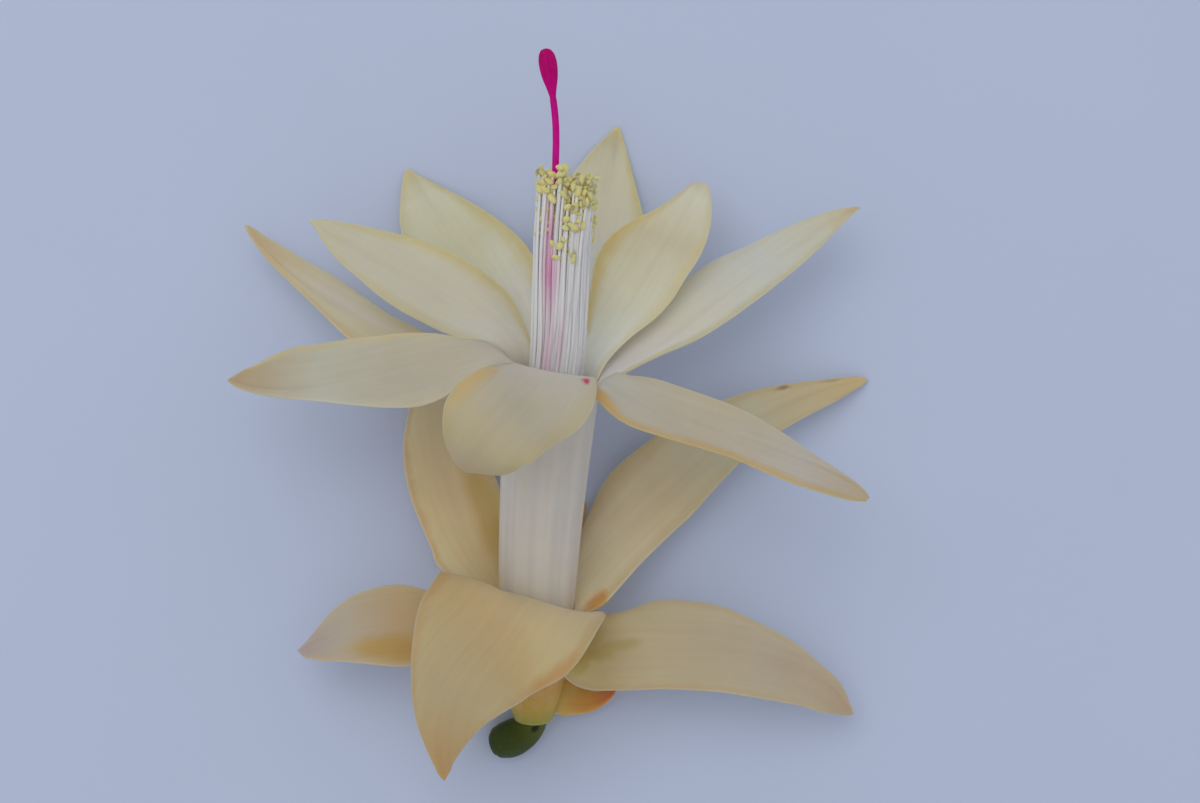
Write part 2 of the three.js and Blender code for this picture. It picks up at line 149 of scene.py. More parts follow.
def spline(knots: Array, steps: int) -> Array:
    """Follows the centripetal Catmull-Rom curve through knots.

    The slopes of each span come from the knots on either side, weighed by the square roots of the
    distances between them. The ends mirror their neighbour.

    Args:
        knots: the points that the curve passes.
        steps: points worked out in each span.

    Returns:
        Points along the curve.
    """
    knots = np.vstack([2 * knots[0] - knots[1], knots, 2 * knots[-1] - knots[-2]])
    before, start, end, after = knots[:-3], knots[1:-2], knots[2:-1], knots[3:]
    gaps = np.sqrt(np.linalg.norm(np.diff(knots, axis=0), axis=1))[:, None]
    first, middle, last = gaps[:-2], gaps[1:-1], gaps[2:]
    chord = (end - start) / middle
    leaving = (start - before) / first - (end - before) / (first + middle) + chord
    arriving = chord - (after - start) / (middle + last) + (after - end) / last
    t = np.linspace(0.0, 1.0, steps, endpoint=False)[None, :, None]
    ends = (start, leaving * middle, end, arriving * middle)
    spans = cubic(t, *(part[:, None] for part in ends))
    return np.vstack([spans.reshape(-1, 3), knots[-2]])


@dataclass(frozen=True)
class Frames:
    """Places along a curve, each with the way on and two directions square to it."""

    centre: Array  # points on the curve
    forward: Array  # the way on
    right: Array  # level, to the right of the way on
    top: Array  # square to both, on the upper side

    def outwards(self, degrees: Array | float) -> Array:
        """Points away from the curve: right times the angle's cosine plus top times its sine."""
        angle = np.radians(np.asarray(degrees, dtype=float))[..., None]
        return self.right * np.cos(angle) + self.top * np.sin(angle)

    def rings(self, angles: Array, radii: Array) -> Array:
        """Draws a ring round each place: its centre plus the radius along each outward direction.

        Args:
            angles: radians round the curve, one for each point of a ring.
            radii: one for each ring and point, or a shape that spreads to that.

        Returns:
            Points by ring and place in the ring.
        """
        across = self.right[:, None] * np.cos(angles)[None, :, None]
        upwards = self.top[:, None] * np.sin(angles)[None, :, None]
        radii = np.broadcast_to(radii, (len(self.centre), len(angles)))
        return self.centre[:, None] + (across + upwards) * radii[..., None]


@dataclass(frozen=True)
class Curve:
    """A curve kept as closely spaced points, in order, and read by distance along it."""

    points: Array

    @cached_property
    def stations(self) -> Array:
        """Gives each kept point's distance from the start: the running sum of the steps."""
        steps = np.linalg.norm(np.diff(self.points, axis=0), axis=1)
        return np.concatenate([[0.0], np.cumsum(steps)])

    @property
    def length(self) -> float:
        """Gives the curve's whole length."""
        return float(self.stations[-1])

    def frames(self, stations: Array | float) -> Frames:
        """Reads frames at distances from the start: right is the way on crossed with up.

        Args:
            stations: the distances.

        Returns:
            The frames there.
        """
        stations = np.atleast_1d(np.asarray(stations, dtype=float))
        slopes = np.gradient(self.points, self.stations, axis=0)
        centre, forward = (
            np.stack([np.interp(stations, self.stations, column) for column in rows.T], -1)
            for rows in (self.points, slopes)
        )
        forward = unit(forward)
        right = unit(np.cross(forward, UP))
        return Frames(centre, forward, right, np.cross(right, forward))


@dataclass(frozen=True)
class Surface:
    """A closed surface in millimetres."""

    points: Array
    quads: Array  # four point numbers a face
    triangles: Array  # three point numbers a face
    values: dict[str, Array]  # three numbers a point, by name


def swept(
    rings: Array, place: tuple | Array, grain: tuple | Array, endless: bool = False
) -> Surface:
    """Joins rings of points into a closed surface.

    Each point is joined to the next in its ring and to the same point of the next ring. Both ends
    close on a pole at their ring's mean point, or the last ring joins the first. The volume is a
    sixth of the sum, over the triangles, of one corner times the cross of the other two. Where it
    is below zero, each face's order is turned round, so that all look outwards.

    Args:
        rings: points by ring and place in the ring.
        place: three values of that layout, or that spread to it.
        grain: three more.
        endless: whether the last ring joins the first.

    Returns:
        The surface.
    """
    rows, columns = rings.shape[:2]
    index = np.arange(rows * columns).reshape(rows, columns)
    near, far = (index, np.roll(index, -1, axis=0)) if endless else (index[:-1], index[1:])
    corners = [near, np.roll(near, -1, axis=1), np.roll(far, -1, axis=1), far]
    quads = np.stack(corners, axis=-1).reshape(-1, 4)
    poles = []
    if not endless:
        ends = ((np.roll(index[0], -1), index[0]), (index[-1], np.roll(index[-1], -1)))
        poles = [(*pair, np.full(columns, index.size + k)) for k, pair in enumerate(ends)]
    triangles = np.vstack([np.empty((0, 3), int)] + [np.stack(pole, axis=-1) for pole in poles])

    def listed(grid: Array) -> Array:
        """Lists a grid's rows of three, then the poles' means."""
        means = [] if endless else [grid[0].mean(0), grid[-1].mean(0)]
        return np.vstack([grid.reshape(-1, 3), *means])

    values = {
        name: listed(np.stack([np.broadcast_to(part, index.shape) for part in parts], axis=-1))
        for name, parts in ((PLACE, place), (GRAIN, grain))
    }
    points = listed(rings)
    halves = np.vstack([triangles, quads[:, [0, 1, 2]], quads[:, [0, 2, 3]]])
    a, b, c = (points[halves[:, k]] for k in range(3))
    if np.einsum("ij,ij->", a, np.cross(b, c)) <= 0:
        quads, triangles = quads[:, ::-1], triangles[:, ::-1]
    return Surface(points, quads, triangles, values)


def lathed(
    axis: Curve, stations: Array, angles: Array, radii: Array, girth: float = 1.0
) -> Surface:
    """Draws a round piece of rings on an axis, placed by their angle and share of its length.

    Args:
        axis: its axis.
        stations: of its rings.
        angles: of a ring's points.
        radii: one for each ring and point.
        girth: radius to which its rows of cells are measured.

    Returns:
        The piece's surface.
    """
    share = (stations / axis.length)[:, None]
    grain = (angles * girth, share * axis.length, 1.0)
    rings = axis.frames(stations).rings(angles, radii)
    return swept(rings, (angles / np.pi - 1, share, 1.0), grain)


def joined(surfaces: tuple[Surface, ...]) -> Surface:
    """Puts surfaces together as one, with the point numbers of each moved past those before it.

    Args:
        surfaces: the surfaces.

    Returns:
        The one surface.
    """
    counts = np.cumsum([0] + [len(surface.points) for surface in surfaces[:-1]])
    return Surface(
        np.vstack([s.points for s in surfaces]),
        np.vstack([s.quads + n for s, n in zip(surfaces, counts)]),
        np.vstack([s.triangles + n for s, n in zip(surfaces, counts)]),
        {name: np.vstack([s.values[name] for s in surfaces]) for name in (PLACE, GRAIN)},
    )


def placed(name: str, data: bpy.types.ID) -> bpy.types.Object:
    """Puts a mesh, a light or a camera into the scene."""
    thing = bpy.data.objects.new(name, data)
    bpy.context.scene.collection.objects.link(thing)
    return thing


class Slot(Enum):
    """The record's material slots."""

    OVARY = "ovary"
    TUBE = "tube"
    OUTER = "outer_tepals"
    INNER = "inner_tepals"
    STAMENS = "stamens"
    STYLE = "style"


def make_piece(
    name: str, surface: Surface, finish: bpy.types.Material, node: str | None = None
) -> None:
    """Makes a smooth mesh of a surface and hands it to the frame.

    Its points are the surface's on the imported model's axes, with none left under the ground.

    Args:
        name: the piece's name.
        surface: its shape and what its points carry.
        finish: its material.
        node: the CAD node that it stands for, if any.
    """
    points = surface.points + CENTRING
    points[:, 2] = np.maximum(points[:, 2], 0.0)
    mesh = bpy.data.meshes.new(name)
    faces = surface.quads.tolist() + surface.triangles.tolist()
    mesh.from_pydata((points * MILLIMETRE).tolist(), [], faces)
    for label, values in surface.values.items():
        attribute = mesh.attributes.new(label, "FLOAT_VECTOR", "POINT")
        attribute.data.foreach_set("vector", values.astype(np.float32).ravel())
    mesh.materials.append(finish)
    mesh.shade_smooth()
    piece = placed(name, mesh)
    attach(piece, BODY)
    if node:
        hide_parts(node)
    LOG.info("%s: %d faces", name, len(faces))


def linear(colour: str) -> tuple[float, float, float, float]:
    """Turns an sRGB hex colour to the linear numbers that a shader takes.

    Each channel is divided by 12.92 where it is dark, and otherwise raised to the power 2.4.

    Args:
        colour: six hex digits.

    Returns:
        Red, green, blue and an alpha of 1.
    """
    channels = np.array([int(colour[k : k + 2], 16) for k in (0, 2, 4)]) / 255
    bright = ((channels + 0.055) / 1.055) ** 2.4
    red, green, blue = np.where(channels <= 0.04045, channels / 12.92, bright).tolist()
    return red, green, blue, 1.0


def add(
    tree: Tree, kind: str, settings: dict | None = None, inputs: dict | None = None
) -> bpy.types.Node:
    """Adds a node with its settings and links.

    Args:
        tree: the material's or world's tree.
        kind: the node's type, without its ShaderNode prefix.
        settings: the node's own properties.
        inputs: what each input takes, by its name or number: a value, or another node's output.

    Returns:
        The node.
    """
    node = tree.nodes.new("ShaderNode" + kind)
    for label, value in (settings or {}).items():
        setattr(node, label, value)
    for socket, value in (inputs or {}).items():
        if isinstance(value, Socket):
            tree.links.new(value, node.inputs[socket])
        else:
            node.inputs[socket].default_value = value
    return node


def carried(tree: Tree, name: str) -> Socket:
    """Reads a value that the points carry."""
    return add(tree, "Attribute", {"attribute_name": name}).outputs["Vector"]


def noise(tree: Tree, where: Socket, scale: float, detail: float, output: int = 0) -> Socket:
    """Adds a noise of a scale and detail, whose output 0 is a number and 1 a colour."""
    settings = {"Vector": where, "Scale": scale, "Detail": detail}
    return add(tree, "TexNoise", None, settings).outputs[output]


def vector(tree: Tree, operation: str, *inputs: Socket | Point, output: str = "Vector") -> Socket:
    """Adds a vector operation on its inputs."""
    settings = {"operation": operation}
    return add(tree, "VectorMath", settings, dict(enumerate(inputs))).outputs[output]


def mapped(tree: Tree, value: Socket, *ends: float, smooth: bool = False) -> Socket:
    """Maps a value from one span to another, straight or smooth: two ends, then the new two."""
    settings = {"interpolation_type": "SMOOTHSTEP" if smooth else "LINEAR"}
    return add(tree, "MapRange", settings, dict(enumerate((value, *ends)))).outputs[0]


def mixed(tree: Tree, share: Socket, first: Socket | tuple, second: str) -> Socket:
    """Mixes a colour with a hex colour by a share."""
    inputs = {0: share, 6: first, 7: linear(second)}
    return add(tree, "Mix", {"data_type": "RGBA"}, inputs).outputs[2]


def ramp(tree: Tree, place: Socket, stops: Fade) -> Socket:
    """Adds a colour ramp.

    Args:
        tree: the material's nodes.
        place: where on the ramp it is read.
        stops: its colours.

    Returns:
        The colour there.
    """
    node = add(tree, "ValToRGB", None, {"Fac": place})
    elements = node.color_ramp.elements
    while len(elements) < len(stops):
        elements.new(0.5)
    for element, (share, colour) in zip(elements, stops):
        element.position = share
        element.color = linear(colour)
    return node.outputs["Color"]


NOISE_SPAN = (0.3, 0.7)  # where nearly all of a noise lies
NOISE_MEAN = (0.5, 0.5, 0.5)
FINE_DETAIL, SOFT_DETAIL = 3.0, 2.0  # how many finer noises are laid over a crisp and a soft one
BUMP_STRENGTH = 0.6  # share of the relief that the light meets
FLECK_SPAN = (0.5, 0.66)  # of a noise, from no fleck to a full one
BORDER_SCALE = 0.5  # waves in a millimetre of the noise that shifts borders
BORDER_SHIFT = (0.2, 0.08, 0.0)  # how far it shifts a place across and along
PATCH_CORE = 0.25  # share of a patch's size within which it is full


@dataclass(frozen=True)
class Tissue:
    """Living petal tissue: thin-walled cells under a wax film, grown and not polished.

    Light enters it and comes out nearby, so it glows softly and its highlights are broad and weak.
    """

    # How far red, green and blue light travel inside, in millimetres.
    depth: Point = (1.7, 1.4, 0.9)
    glow: float = 0.75  # share of the light that goes inside
    roughness: float = 0.55  # of the wax film
    gloss: float = 0.3  # specular level of the film
    # Across the rows of cells. They are drawn as coarse as they need to show.
    grain_width: float = 0.55
    grain_length: float = 11.0  # along the rows
    relief: float = 0.02  # height of the rows
    unevenness: float = 0.03  # how far the rows and patches of the tissue lighten or darken it
    mottling: float = 160.0  # how many of its rounder patches a metre holds
    wear: float = 0.08  # how far the wax is smoother or rougher in places
    refraction: float = 1.42  # index of the wet cells

    def grown(self, tree: Tree, colour: Socket) -> None:
        """Finishes a tree with the tissue's rows of cells, its patches and its shader.

        The colour is multiplied by a noise drawn out along the tissue and by a rounder one. The
        first also raises the surface and roughens its wax.

        Args:
            tree: the nodes that make the colour.
            colour: the tissue's own colour.
        """
        stretch = (1 / self.grain_width, 1 / self.grain_length, 1.0)
        rows = vector(tree, "MULTIPLY", carried(tree, GRAIN), stretch)
        fine = noise(tree, rows, 1.0, FINE_DETAIL)
        where = add(tree, "TexCoord").outputs["Object"]
        for cells in (fine, noise(tree, where, self.mottling, SOFT_DETAIL)):
            shade = mapped(tree, cells, *NOISE_SPAN, 1 - self.unevenness, 1 + self.unevenness)
            colour = vector(tree, "MULTIPLY", colour, shade)
        relief = self.relief * MILLIMETRE
        bump = {"Height": fine, "Distance": relief, "Strength": BUMP_STRENGTH}
        wax = (self.roughness - self.wear, self.roughness + self.wear)
        inputs = {
            "Base Color": colour,
            "Roughness": mapped(tree, fine, *NOISE_SPAN, *wax),
            "Normal": add(tree, "Bump", None, bump).outputs[0],
            "IOR": self.refraction,
            "Specular IOR Level": self.gloss,
            "Subsurface Weight": self.glow,
            "Subsurface Radius": self.depth,
            "Subsurface Scale": MILLIMETRE,
        }
        shader = add(tree, "BsdfPrincipled", {"subsurface_method": "RANDOM_WALK"}, inputs)
        add(tree, "OutputMaterial", None, {"Surface": shader.outputs[0]})


def empty_material(name: str) -> bpy.types.Material:
    """Makes a material with no nodes."""
    material = bpy.data.materials.new(name)
    material.use_nodes = True
    material.node_tree.nodes.clear()
    return material


@dataclass(frozen=True)
class Patch:
    """A soft-edged area of another colour on a piece: a mark of the tissue's own, or painted shade.
    """

    colour: str  # hex colour
    across: float  # of its middle, from -1 to 1
    along: float  # share of the length at its middle
    wide: float  # half of it, in the measure of across
    long: float  # half of it, as a share of the length
    strength: float  # how far it covers, from 0 to 1

    def laid(self, tree: Tree, place: Socket, colour: Socket) -> Socket:
        """Lays it over a colour as a fade of the scaled distance from its middle.

        Args:
            tree: the material's nodes.
            place: where on the piece it is, across and along.
            colour: what it lies on.

        Returns:
            The colour with the patch.
        """
        away = vector(tree, "SUBTRACT", place, (self.across, self.along, 0.0))
        scaled = vector(tree, "MULTIPLY", away, (1 / self.wide, 1 / self.long, 0.0))
        far = vector(tree, "LENGTH", scaled, output="Value")
        cover = mapped(tree, far, PATCH_CORE, 1.0, self.strength, 0.0, smooth=True)
        return mixed(tree, cover, colour, self.colour)


@dataclass(frozen=True, kw_only=True)
class Finish:
    """Grown tissue with its own colours, which each kind of finish paints."""

    tissue: Tissue = Tissue()  # how light meets it
    patches: tuple[Patch, ...] = ()  # areas of another colour, from the lowest to the topmost

    def painted(self, tree: Tree, place: Socket) -> tuple[Socket, Socket]:
        """Paints the colour at a place, and gives where its patches are measured from."""
        raise NotImplementedError

    def material(self, name: str) -> bpy.types.Material:
        """Makes the material: the colours, then the patches, then the tissue.

        Args:
            name: the material's name.

        Returns:
            The material.
        """
        material = empty_material(name)
        tree = material.node_tree
        place, colour = self.painted(tree, carried(tree, PLACE))
        for patch in self.patches:
            colour = patch.laid(tree, place, colour)
        self.tissue.grown(tree, colour)
        return material


@dataclass(frozen=True, kw_only=True)
class TepalFinish(Finish):
    """Petal tissue that fades from its root to its tip, with a warmer rim.

    The pigment gathers where the cells are oldest, at the rim and the tip, so both look like thin
    washes of ochre over ivory.
    """

    along: Fade  # the colours from the root to the tip
    rim: str  # hex colour of the rim
    rim_width: float = 0.42  # share of the half width that it takes
    # How strong it is on the left, with the tip pointing away and the inner face up.
    rim_left: float = 0.6
    rim_right: float = 0.6  # how strong it is on the right

    def painted(self, tree: Tree, place: Socket) -> tuple[Socket, Socket]:
        """Paints the fade along, then the rim.

        A slow noise shifts the places by a few hundredths, so that no border runs straight.

        Args:
            tree: the material's nodes.
            place: where on the blade it is.

        Returns:
            The shifted place and the colour.
        """
        slow = noise(tree, carried(tree, GRAIN), BORDER_SCALE, SOFT_DETAIL, output=1)
        shift = vector(tree, "SUBTRACT", slow, NOISE_MEAN)
        place = vector(tree, "MULTIPLY_ADD", shift, BORDER_SHIFT, place)
        across, along = add(tree, "SeparateXYZ", None, {0: place}).outputs[:2]
        colour = ramp(tree, along, self.along)
        for side, amount in ((-1.0, self.rim_left), (1.0, self.rim_right)):
            span = (side * (1 - self.rim_width), side)
            edge = mapped(tree, across, *span, 0.0, amount, smooth=True)
            colour = mixed(tree, edge, colour, self.rim)
        return place, colour


@dataclass(frozen=True, kw_only=True)
class LengthwiseFinish(Finish):
    """Tissue that changes along a round piece, such as the tube, the style or the ovary."""

    along: Fade  # the colours from its foot to its end
    speckle: str  # hex colour of the small flecks in it, where a noise is high
    speckle_size: float  # across a fleck, in millimetres
    speckle_cover: float  # how far the flecks cover it, from 0 to 1

    def painted(self, tree: Tree, place: Socket) -> tuple[Socket, Socket]:
        """Paints the fade along, then the flecks.

        Args:
            tree: the material's nodes.
            place: where on the piece it is.

        Returns:
            The place and the colour.
        """
        along = add(tree, "SeparateXYZ", None, {0: place}).outputs["Y"]
        where = add(tree, "TexCoord").outputs["Object"]
        flecks = noise(tree, where, 1 / (self.speckle_size * MILLIMETRE), SOFT_DETAIL)
        cover = mapped(tree, flecks, *FLECK_SPAN, 0.0, self.speckle_cover, smooth=True)
        return place, mixed(tree, cover, ramp(tree, along, self.along), self.speckle)


@dataclass(frozen=True)
class FloralTube:
    """The hollow tube that carries the tepals, with its foot on the ovary and its mouth open."""

    handles: tuple[Point, ...] = (  # of its axis, from the foot to the mouth
        (-1.4, -31.2, 2.9), (-1.2, -19.7, 6.5), (-0.6, -5.7, 10.9), (1.2, 5.7, 14.4),
    )
    outline: Table = (  # rows of a station and the outer radius there
        (0, 2), (2.5, 2.7), (6, 3.3), (11, 3.7), (18, 4), (25, 4.25), (32, 4.5), (39.2, 4.8),
    )
    wall: float = 0.9  # thickness
    floor: float = 3.0  # station of the closed bottom inside
    lip: float = 3.4  # how far the wall ends short of the mouth, where the tepals go on from it
    ridge: float = 0.09  # height of the lengthwise ridges
    ridges: int = 9  # how many there are round it
    fine_ridge: float = 0.4  # height of the finer ones between them, as a share of that
    fine_ridges: int = 23  # how many of them there are
    fine_turn: float = 1.0  # radians of their wave by which they are off the others
    ridges_rise: tuple[float, float] = (2.0, 9.0)  # from where to where the ridges rise at the foot
    ridges_fall: float = 5.0  # over how far they fall before the lip
    grain_radius: float = 4.0  # to which its rows of cells are measured
    # White tissue over a green and orange foot. It glows softly, and shows its rows as faint lines.
    finish: LengthwiseFinish = LengthwiseFinish(  # from the foot to the mouth
        along=(
            (0, "a3a04a"), (0.05, "ceac56"), (0.14, "e2aa5e"), (0.26, "dccda9"), (0.34, "e3d9c8"),
            (0.6, "e4dace"), (1, "ece4d8"),
        ),
        speckle="ece0da",
        speckle_size=1.5,
        speckle_cover=0.09,
        tissue=Tissue(grain_width=0.8, grain_length=18.0, relief=0.03),
    )

    @cached_property
    def axis(self) -> Curve:
        """Gives the tube's axis."""
        return Curve(bezier(np.array(self.handles), np.linspace(0.0, 1.0, TUBE_AXIS))[0])

    def radius(self, station: Array | float) -> Array:
        """Reads the outer radius straight between the outline's rows, as the solid has it."""
        stations, radii = np.array(self.outline).T
        return np.interp(station, stations, radii)

    def surface(self) -> Surface:
        """Draws the wall: out along the outside, round the lip and back inside to the floor.

        The outside follows the smooth outline plus the ridges, two cosines round the tube that
        fade at both ends. The lip is a half circle across the wall.

        Returns:
            The tube's surface.
        """
        angles = circle(TUBE_SIDES)
        length = self.axis.length
        end = length - self.lip
        outside = np.linspace(0.0, end, OUTSIDE_ROWS)
        turn = np.linspace(0.0, np.pi, LIP_ROWS + 2)[1:-1]
        inside = np.linspace(end, self.floor, BORE_ROWS)
        radius = through(self.outline, outside)
        bore = through(self.outline, inside) - self.wall
        middle = (radius[-1] + bore[0]) / 2
        stations = np.concatenate([outside, end + np.sin(turn) * self.wall / 2, inside])
        radii = np.concatenate([radius, middle + np.cos(turn) * self.wall / 2, bore])
        flat = (np.ones(OUTSIDE_ROWS), (1 + np.cos(turn)) / 2, np.zeros(BORE_ROWS))
        outer = np.concatenate(flat)[:, None]
        fall = 1 - ease(stations, end - self.ridges_fall, end)
        fade = (ease(stations, *self.ridges_rise) * fall)[:, None] * outer
        wave = np.cos(self.fine_ridges * angles + self.fine_turn) * self.fine_ridge
        wave = np.cos(self.ridges * angles) + wave
        radii = radii[:, None] + self.ridge * fade * wave
        rings = self.axis.frames(np.minimum(stations, length)).rings(angles, radii)
        share = (stations / length)[:, None]
        place = (angles / np.pi - 1, share, outer)
        return swept(rings, place, (angles * self.grain_radius, share * length, outer))

    def build(self) -> None:
        """Makes the tube's piece."""
        finish = self.finish.material("floral tube, grown waxy petal tissue")
        make_piece("tube_wall", self.surface(), finish, "floral_tube")


class Root(Enum):
    """How a tepal starts: how far below its seat it leaves the wall, and how deep in it."""

    MOUTH = (3.8, 0.45)  # goes on from the wall at the tube's mouth
    WALL = (2.2, 0.42)  # comes out of the outside of the wall


@dataclass(frozen=True)
class Tepal:
    """One petal-like blade, from the tube's wall over its middle point to its tip."""

    name: str  # its CAD node's name
    station: float  # of its seat, along the tube
    azimuth: float  # where it stands round the tube, in degrees from its right side, 90 on top
    leave: float  # angle between the tube and the midrib at the root
    middle: Point  # a point on the midrib
    tip: Point  # the end of the midrib
    faces: Point  # the way the inner face looks
    # Distances from the midrib to the edges, at MARGIN_SHARES of the length. Left is as the inner
    # face looks up and the tip points away.
    left: tuple[float, ...]
    right: tuple[float, ...]
    start_width: float  # width where it leaves the wall
    finish: TepalFinish  # its colours
    reach: float = 0.45  # how strongly the midrib keeps the way that it leaves by
    cup: float = 0.8  # how far the edges stand above the midrib where it is widest
    # Share of the length over which the root's face turns to the way it looks on.
    face_turn: float = 0.45
    bulge: float = 0.0  # how far the middle of its root swells forward along the tube
    opening: float = 1.0  # radius of the root's curve across, as a multiple of the tube's
    root: Root = Root.MOUTH  # how it starts
    groove: float = 0.16  # depth of the channel along the midrib
    wave: float = 0.16  # height of the waves along its edges
    waves: float = 2.3  # how many waves its length has
    crease: float = 0.0  # across place, from -1 to 1, of a lengthwise fold, 0 for none
    crease_drop: float = 0.0  # how far the edge beyond it falls, as a share of its distance from it

    def midrib(self, tube: FloralTube) -> tuple[Array, Array, Array]:
        """Works out the midrib.

        The first handle lies along the way it leaves. The second puts the curve's middle on the
        middle point: eight times that, less the ends and three times the first, over three.

        Args:
            tube: what carries the tepal.

        Returns:
            The four handles, the outward direction and the forward direction at the seat.
        """
        seat = tube.axis.frames(self.station)
        outward, forward = seat.outwards(self.azimuth)[0], seat.forward[0]
        root = seat.centre[0] + outward * self.seat_radius(tube)
        turn = np.radians(self.leave)
        leaving = forward * np.cos(turn) + outward * np.sin(turn)
        middle, tip = np.array(self.middle), np.array(self.tip)
        first = root + leaving * np.linalg.norm(middle - root) * self.reach
        second = (8 * middle - root - tip - 3 * first) / 3
        return np.array([root, first, second, tip]), outward, forward

    def seat_radius(self, tube: FloralTube) -> float:
        """Gives the seat's distance from the axis: the tube, the solids' gap and half a blade."""
        return float(tube.radius(self.station)) + SEAT_GAP + BLADE_THICKNESS / 2

    def margins(self, share: Array, side: Array) -> Array:
        """Gives the distance from the midrib to the edge on each point's side.

        It is the margin table read smoothly. Beyond its last row it falls by a power of the way
        to the tip, so that the tip closes in a blunt point.

        Args:
            share: of the length, one for each ring.
            side: below 0 for points on the left, one for each place in a ring.

        Returns:
            The distances, by ring and place in the ring.
        """
        past = np.clip((share - MARGIN_SHARES[-1]) / (1 - MARGIN_SHARES[-1]), 0.0, 1.0)
        closing = 1 - TIP_CLOSING * past**TIP_POWER
        tables = (tuple(zip(MARGIN_SHARES, margin)) for margin in (self.left, self.right))
        left, right = (through(table, share) * closing for table in tables)
        return np.where(side < 0, left[:, None], right[:, None])

    def surface(self, tube: FloralTube) -> Surface:
        """Draws the blade as rings round its midrib.

        The rings first follow a lead out of the tube's wall, which starts along the wall and ends
        on the midrib, and then the midrib. Across a ring the place goes as a cosine and the
        thickness as a sine to a power, so the section is a thin lens. The root bends round the
        tube and the rest is cupped, a parabola across. The groove is a bell across, and the waves
        grow with the cube of the distance from the midrib.

        Args:
            tube: what carries the tepal.

        Returns:
            The blade's surface.
        """
        handles, outward, forward = self.midrib(tube)
        below, sunk = self.root.value
        start = tube.axis.frames(self.station - below)
        start_radius = float(tube.radius(self.station - below)) - sunk
        inner_end = start.centre[0] + start.outwards(self.azimuth)[0] * start_radius
        leads_to, heading = (found[0] for found in bezier(handles, np.array([LEAD_SHARE])))
        pull = np.linalg.norm(leads_to - inner_end)
        second = inner_end + start.forward[0] * pull * LEAD_PULLS[0]
        third = leads_to - heading * pull * LEAD_PULLS[1]
        v = np.linspace(0.0, 1.0, LEAD_ROWS, endpoint=False)
        rest = 1 - np.linspace(1.0, 0.0, BLADE_ROWS) ** ROW_CROWDING
        share = np.concatenate([LEAD_SHARE * v**2, mix(LEAD_SHARE, 1.0, rest)])
        on_lead = np.concatenate([v, np.ones(BLADE_ROWS)])
        lead = bezier(np.array([inner_end, second, third, leads_to]), v)
        blade = bezier(handles, share[LEAD_ROWS:])
        centre, along = (np.vstack(pair) for pair in zip(lead, blade))

        turn = np.radians(self.leave)
        root_face = forward * np.sin(turn) - outward * np.cos(turn)
        rolled = forward * (along @ outward)[:, None] - outward * (along @ forward)[:, None]
        clear = ease(on_lead, CLEAR_FROM, 1.0)
        face = mix(unit(rolled), root_face, clear[:, None])
        turned = ease(share, 0.0, self.face_turn)[:, None]
        face = mix(face, unit(np.array(self.faces)), turned)
        face = unit(face - along * np.sum(face * along, axis=1, keepdims=True))
        across = np.cross(along, face)

        phi = circle(BLADE_SIDES)
        t, side = np.cos(phi)[None, :], np.sin(phi)[None, :]
        grown = ease(on_lead, 0.0, FULL_WIDTH_AT)[:, None]
        half = mix(self.start_width / 2, self.margins(share, t), grown)
        seat_curve = self.seat_radius(tube) * self.opening
        curve = mix(start_radius, seat_curve, ease(on_lead, 0.0, 1.0))[:, None]
        free = ease(share, 0.0, WRAP_SHARE)[:, None]
        bend = half * t / curve
        aside = mix(curve * np.sin(bend), half * t, free)
        wrapped = mix(curve * (1 - np.cos(bend)), 0.0, free)
        whole = (ease(share, *RELIEF_RISE) * (1 - ease(share, *RELIEF_FALL)))[:, None]
        lift = free * self.cup * t**2 * half / half.max()
        lift = lift - self.groove * whole * np.exp(-((t / GROOVE_WIDTH) ** 2))
        phase = self.waves * share[:, None] * 2 * np.pi + np.sign(t) * WAVE_LAG + self.azimuth
        lift = lift + self.wave * whole * np.abs(t) ** 3 * np.sin(phase)
        if self.crease:
            beyond = np.maximum(np.sign(self.crease) * (t - self.crease), 0.0)
            lift = lift - self.crease_drop * beyond * half * whole
        thin = mix(TIP_THINNESS, 1.0, 1 - ease(share, THIN_FROM, 1.0))
        thin = (thin * mix(ROOT_THICKNESS, 1.0, clear))[:, None]
        shell = np.sign(side) * np.abs(side) ** EDGE_POWER * BLADE_HALF * thin
        rings = (
            centre[:, None]
            + across[:, None] * aside[..., None]
            - outward * wrapped[..., None]
            + face[:, None] * (lift + shell)[..., None]
        )
        swell = self.bulge * ease(on_lead, *BULGE_RISE) * (1 - ease(share, *BULGE_FALL))
        swell = swell[:, None] * (1 - t**2) * (1 + BULGE_LEAN * t)
        rings = rings + forward * swell[..., None]

        shown = mix(-LEAD_SHARE, share, on_lead)[:, None]
        inner = ease(side, -FACE_BLEND, FACE_BLEND)
        grain = (half * t, Curve(centre).stations[:, None], inner * FACE_GRAIN + self.azimuth)
        return swept(rings, (t, shown, inner), grain)

    def build(self, tube: FloralTube, slot: Slot) -> None:
        """Makes the tepal's piece.

        Args:
            tube: what carries the tepal.
            slot: the record's material slot; not used.
        """
        words = self.name.replace("_", " ")
        finish = self.finish.material(f"{words}, grown waxy petal tissue")
        make_piece(f"{self.name}_blade", self.surface(tube), finish, self.name)


# What the tepals share, as the solids have it.
SEAT_GAP = 0.3
BLADE_THICKNESS = 0.7
WRAP_SHARE = 0.3  # share of the length over which the root's curve round the tube opens
MOUTH_SEAT = 38.83
FOOT_SEAT = 12.5

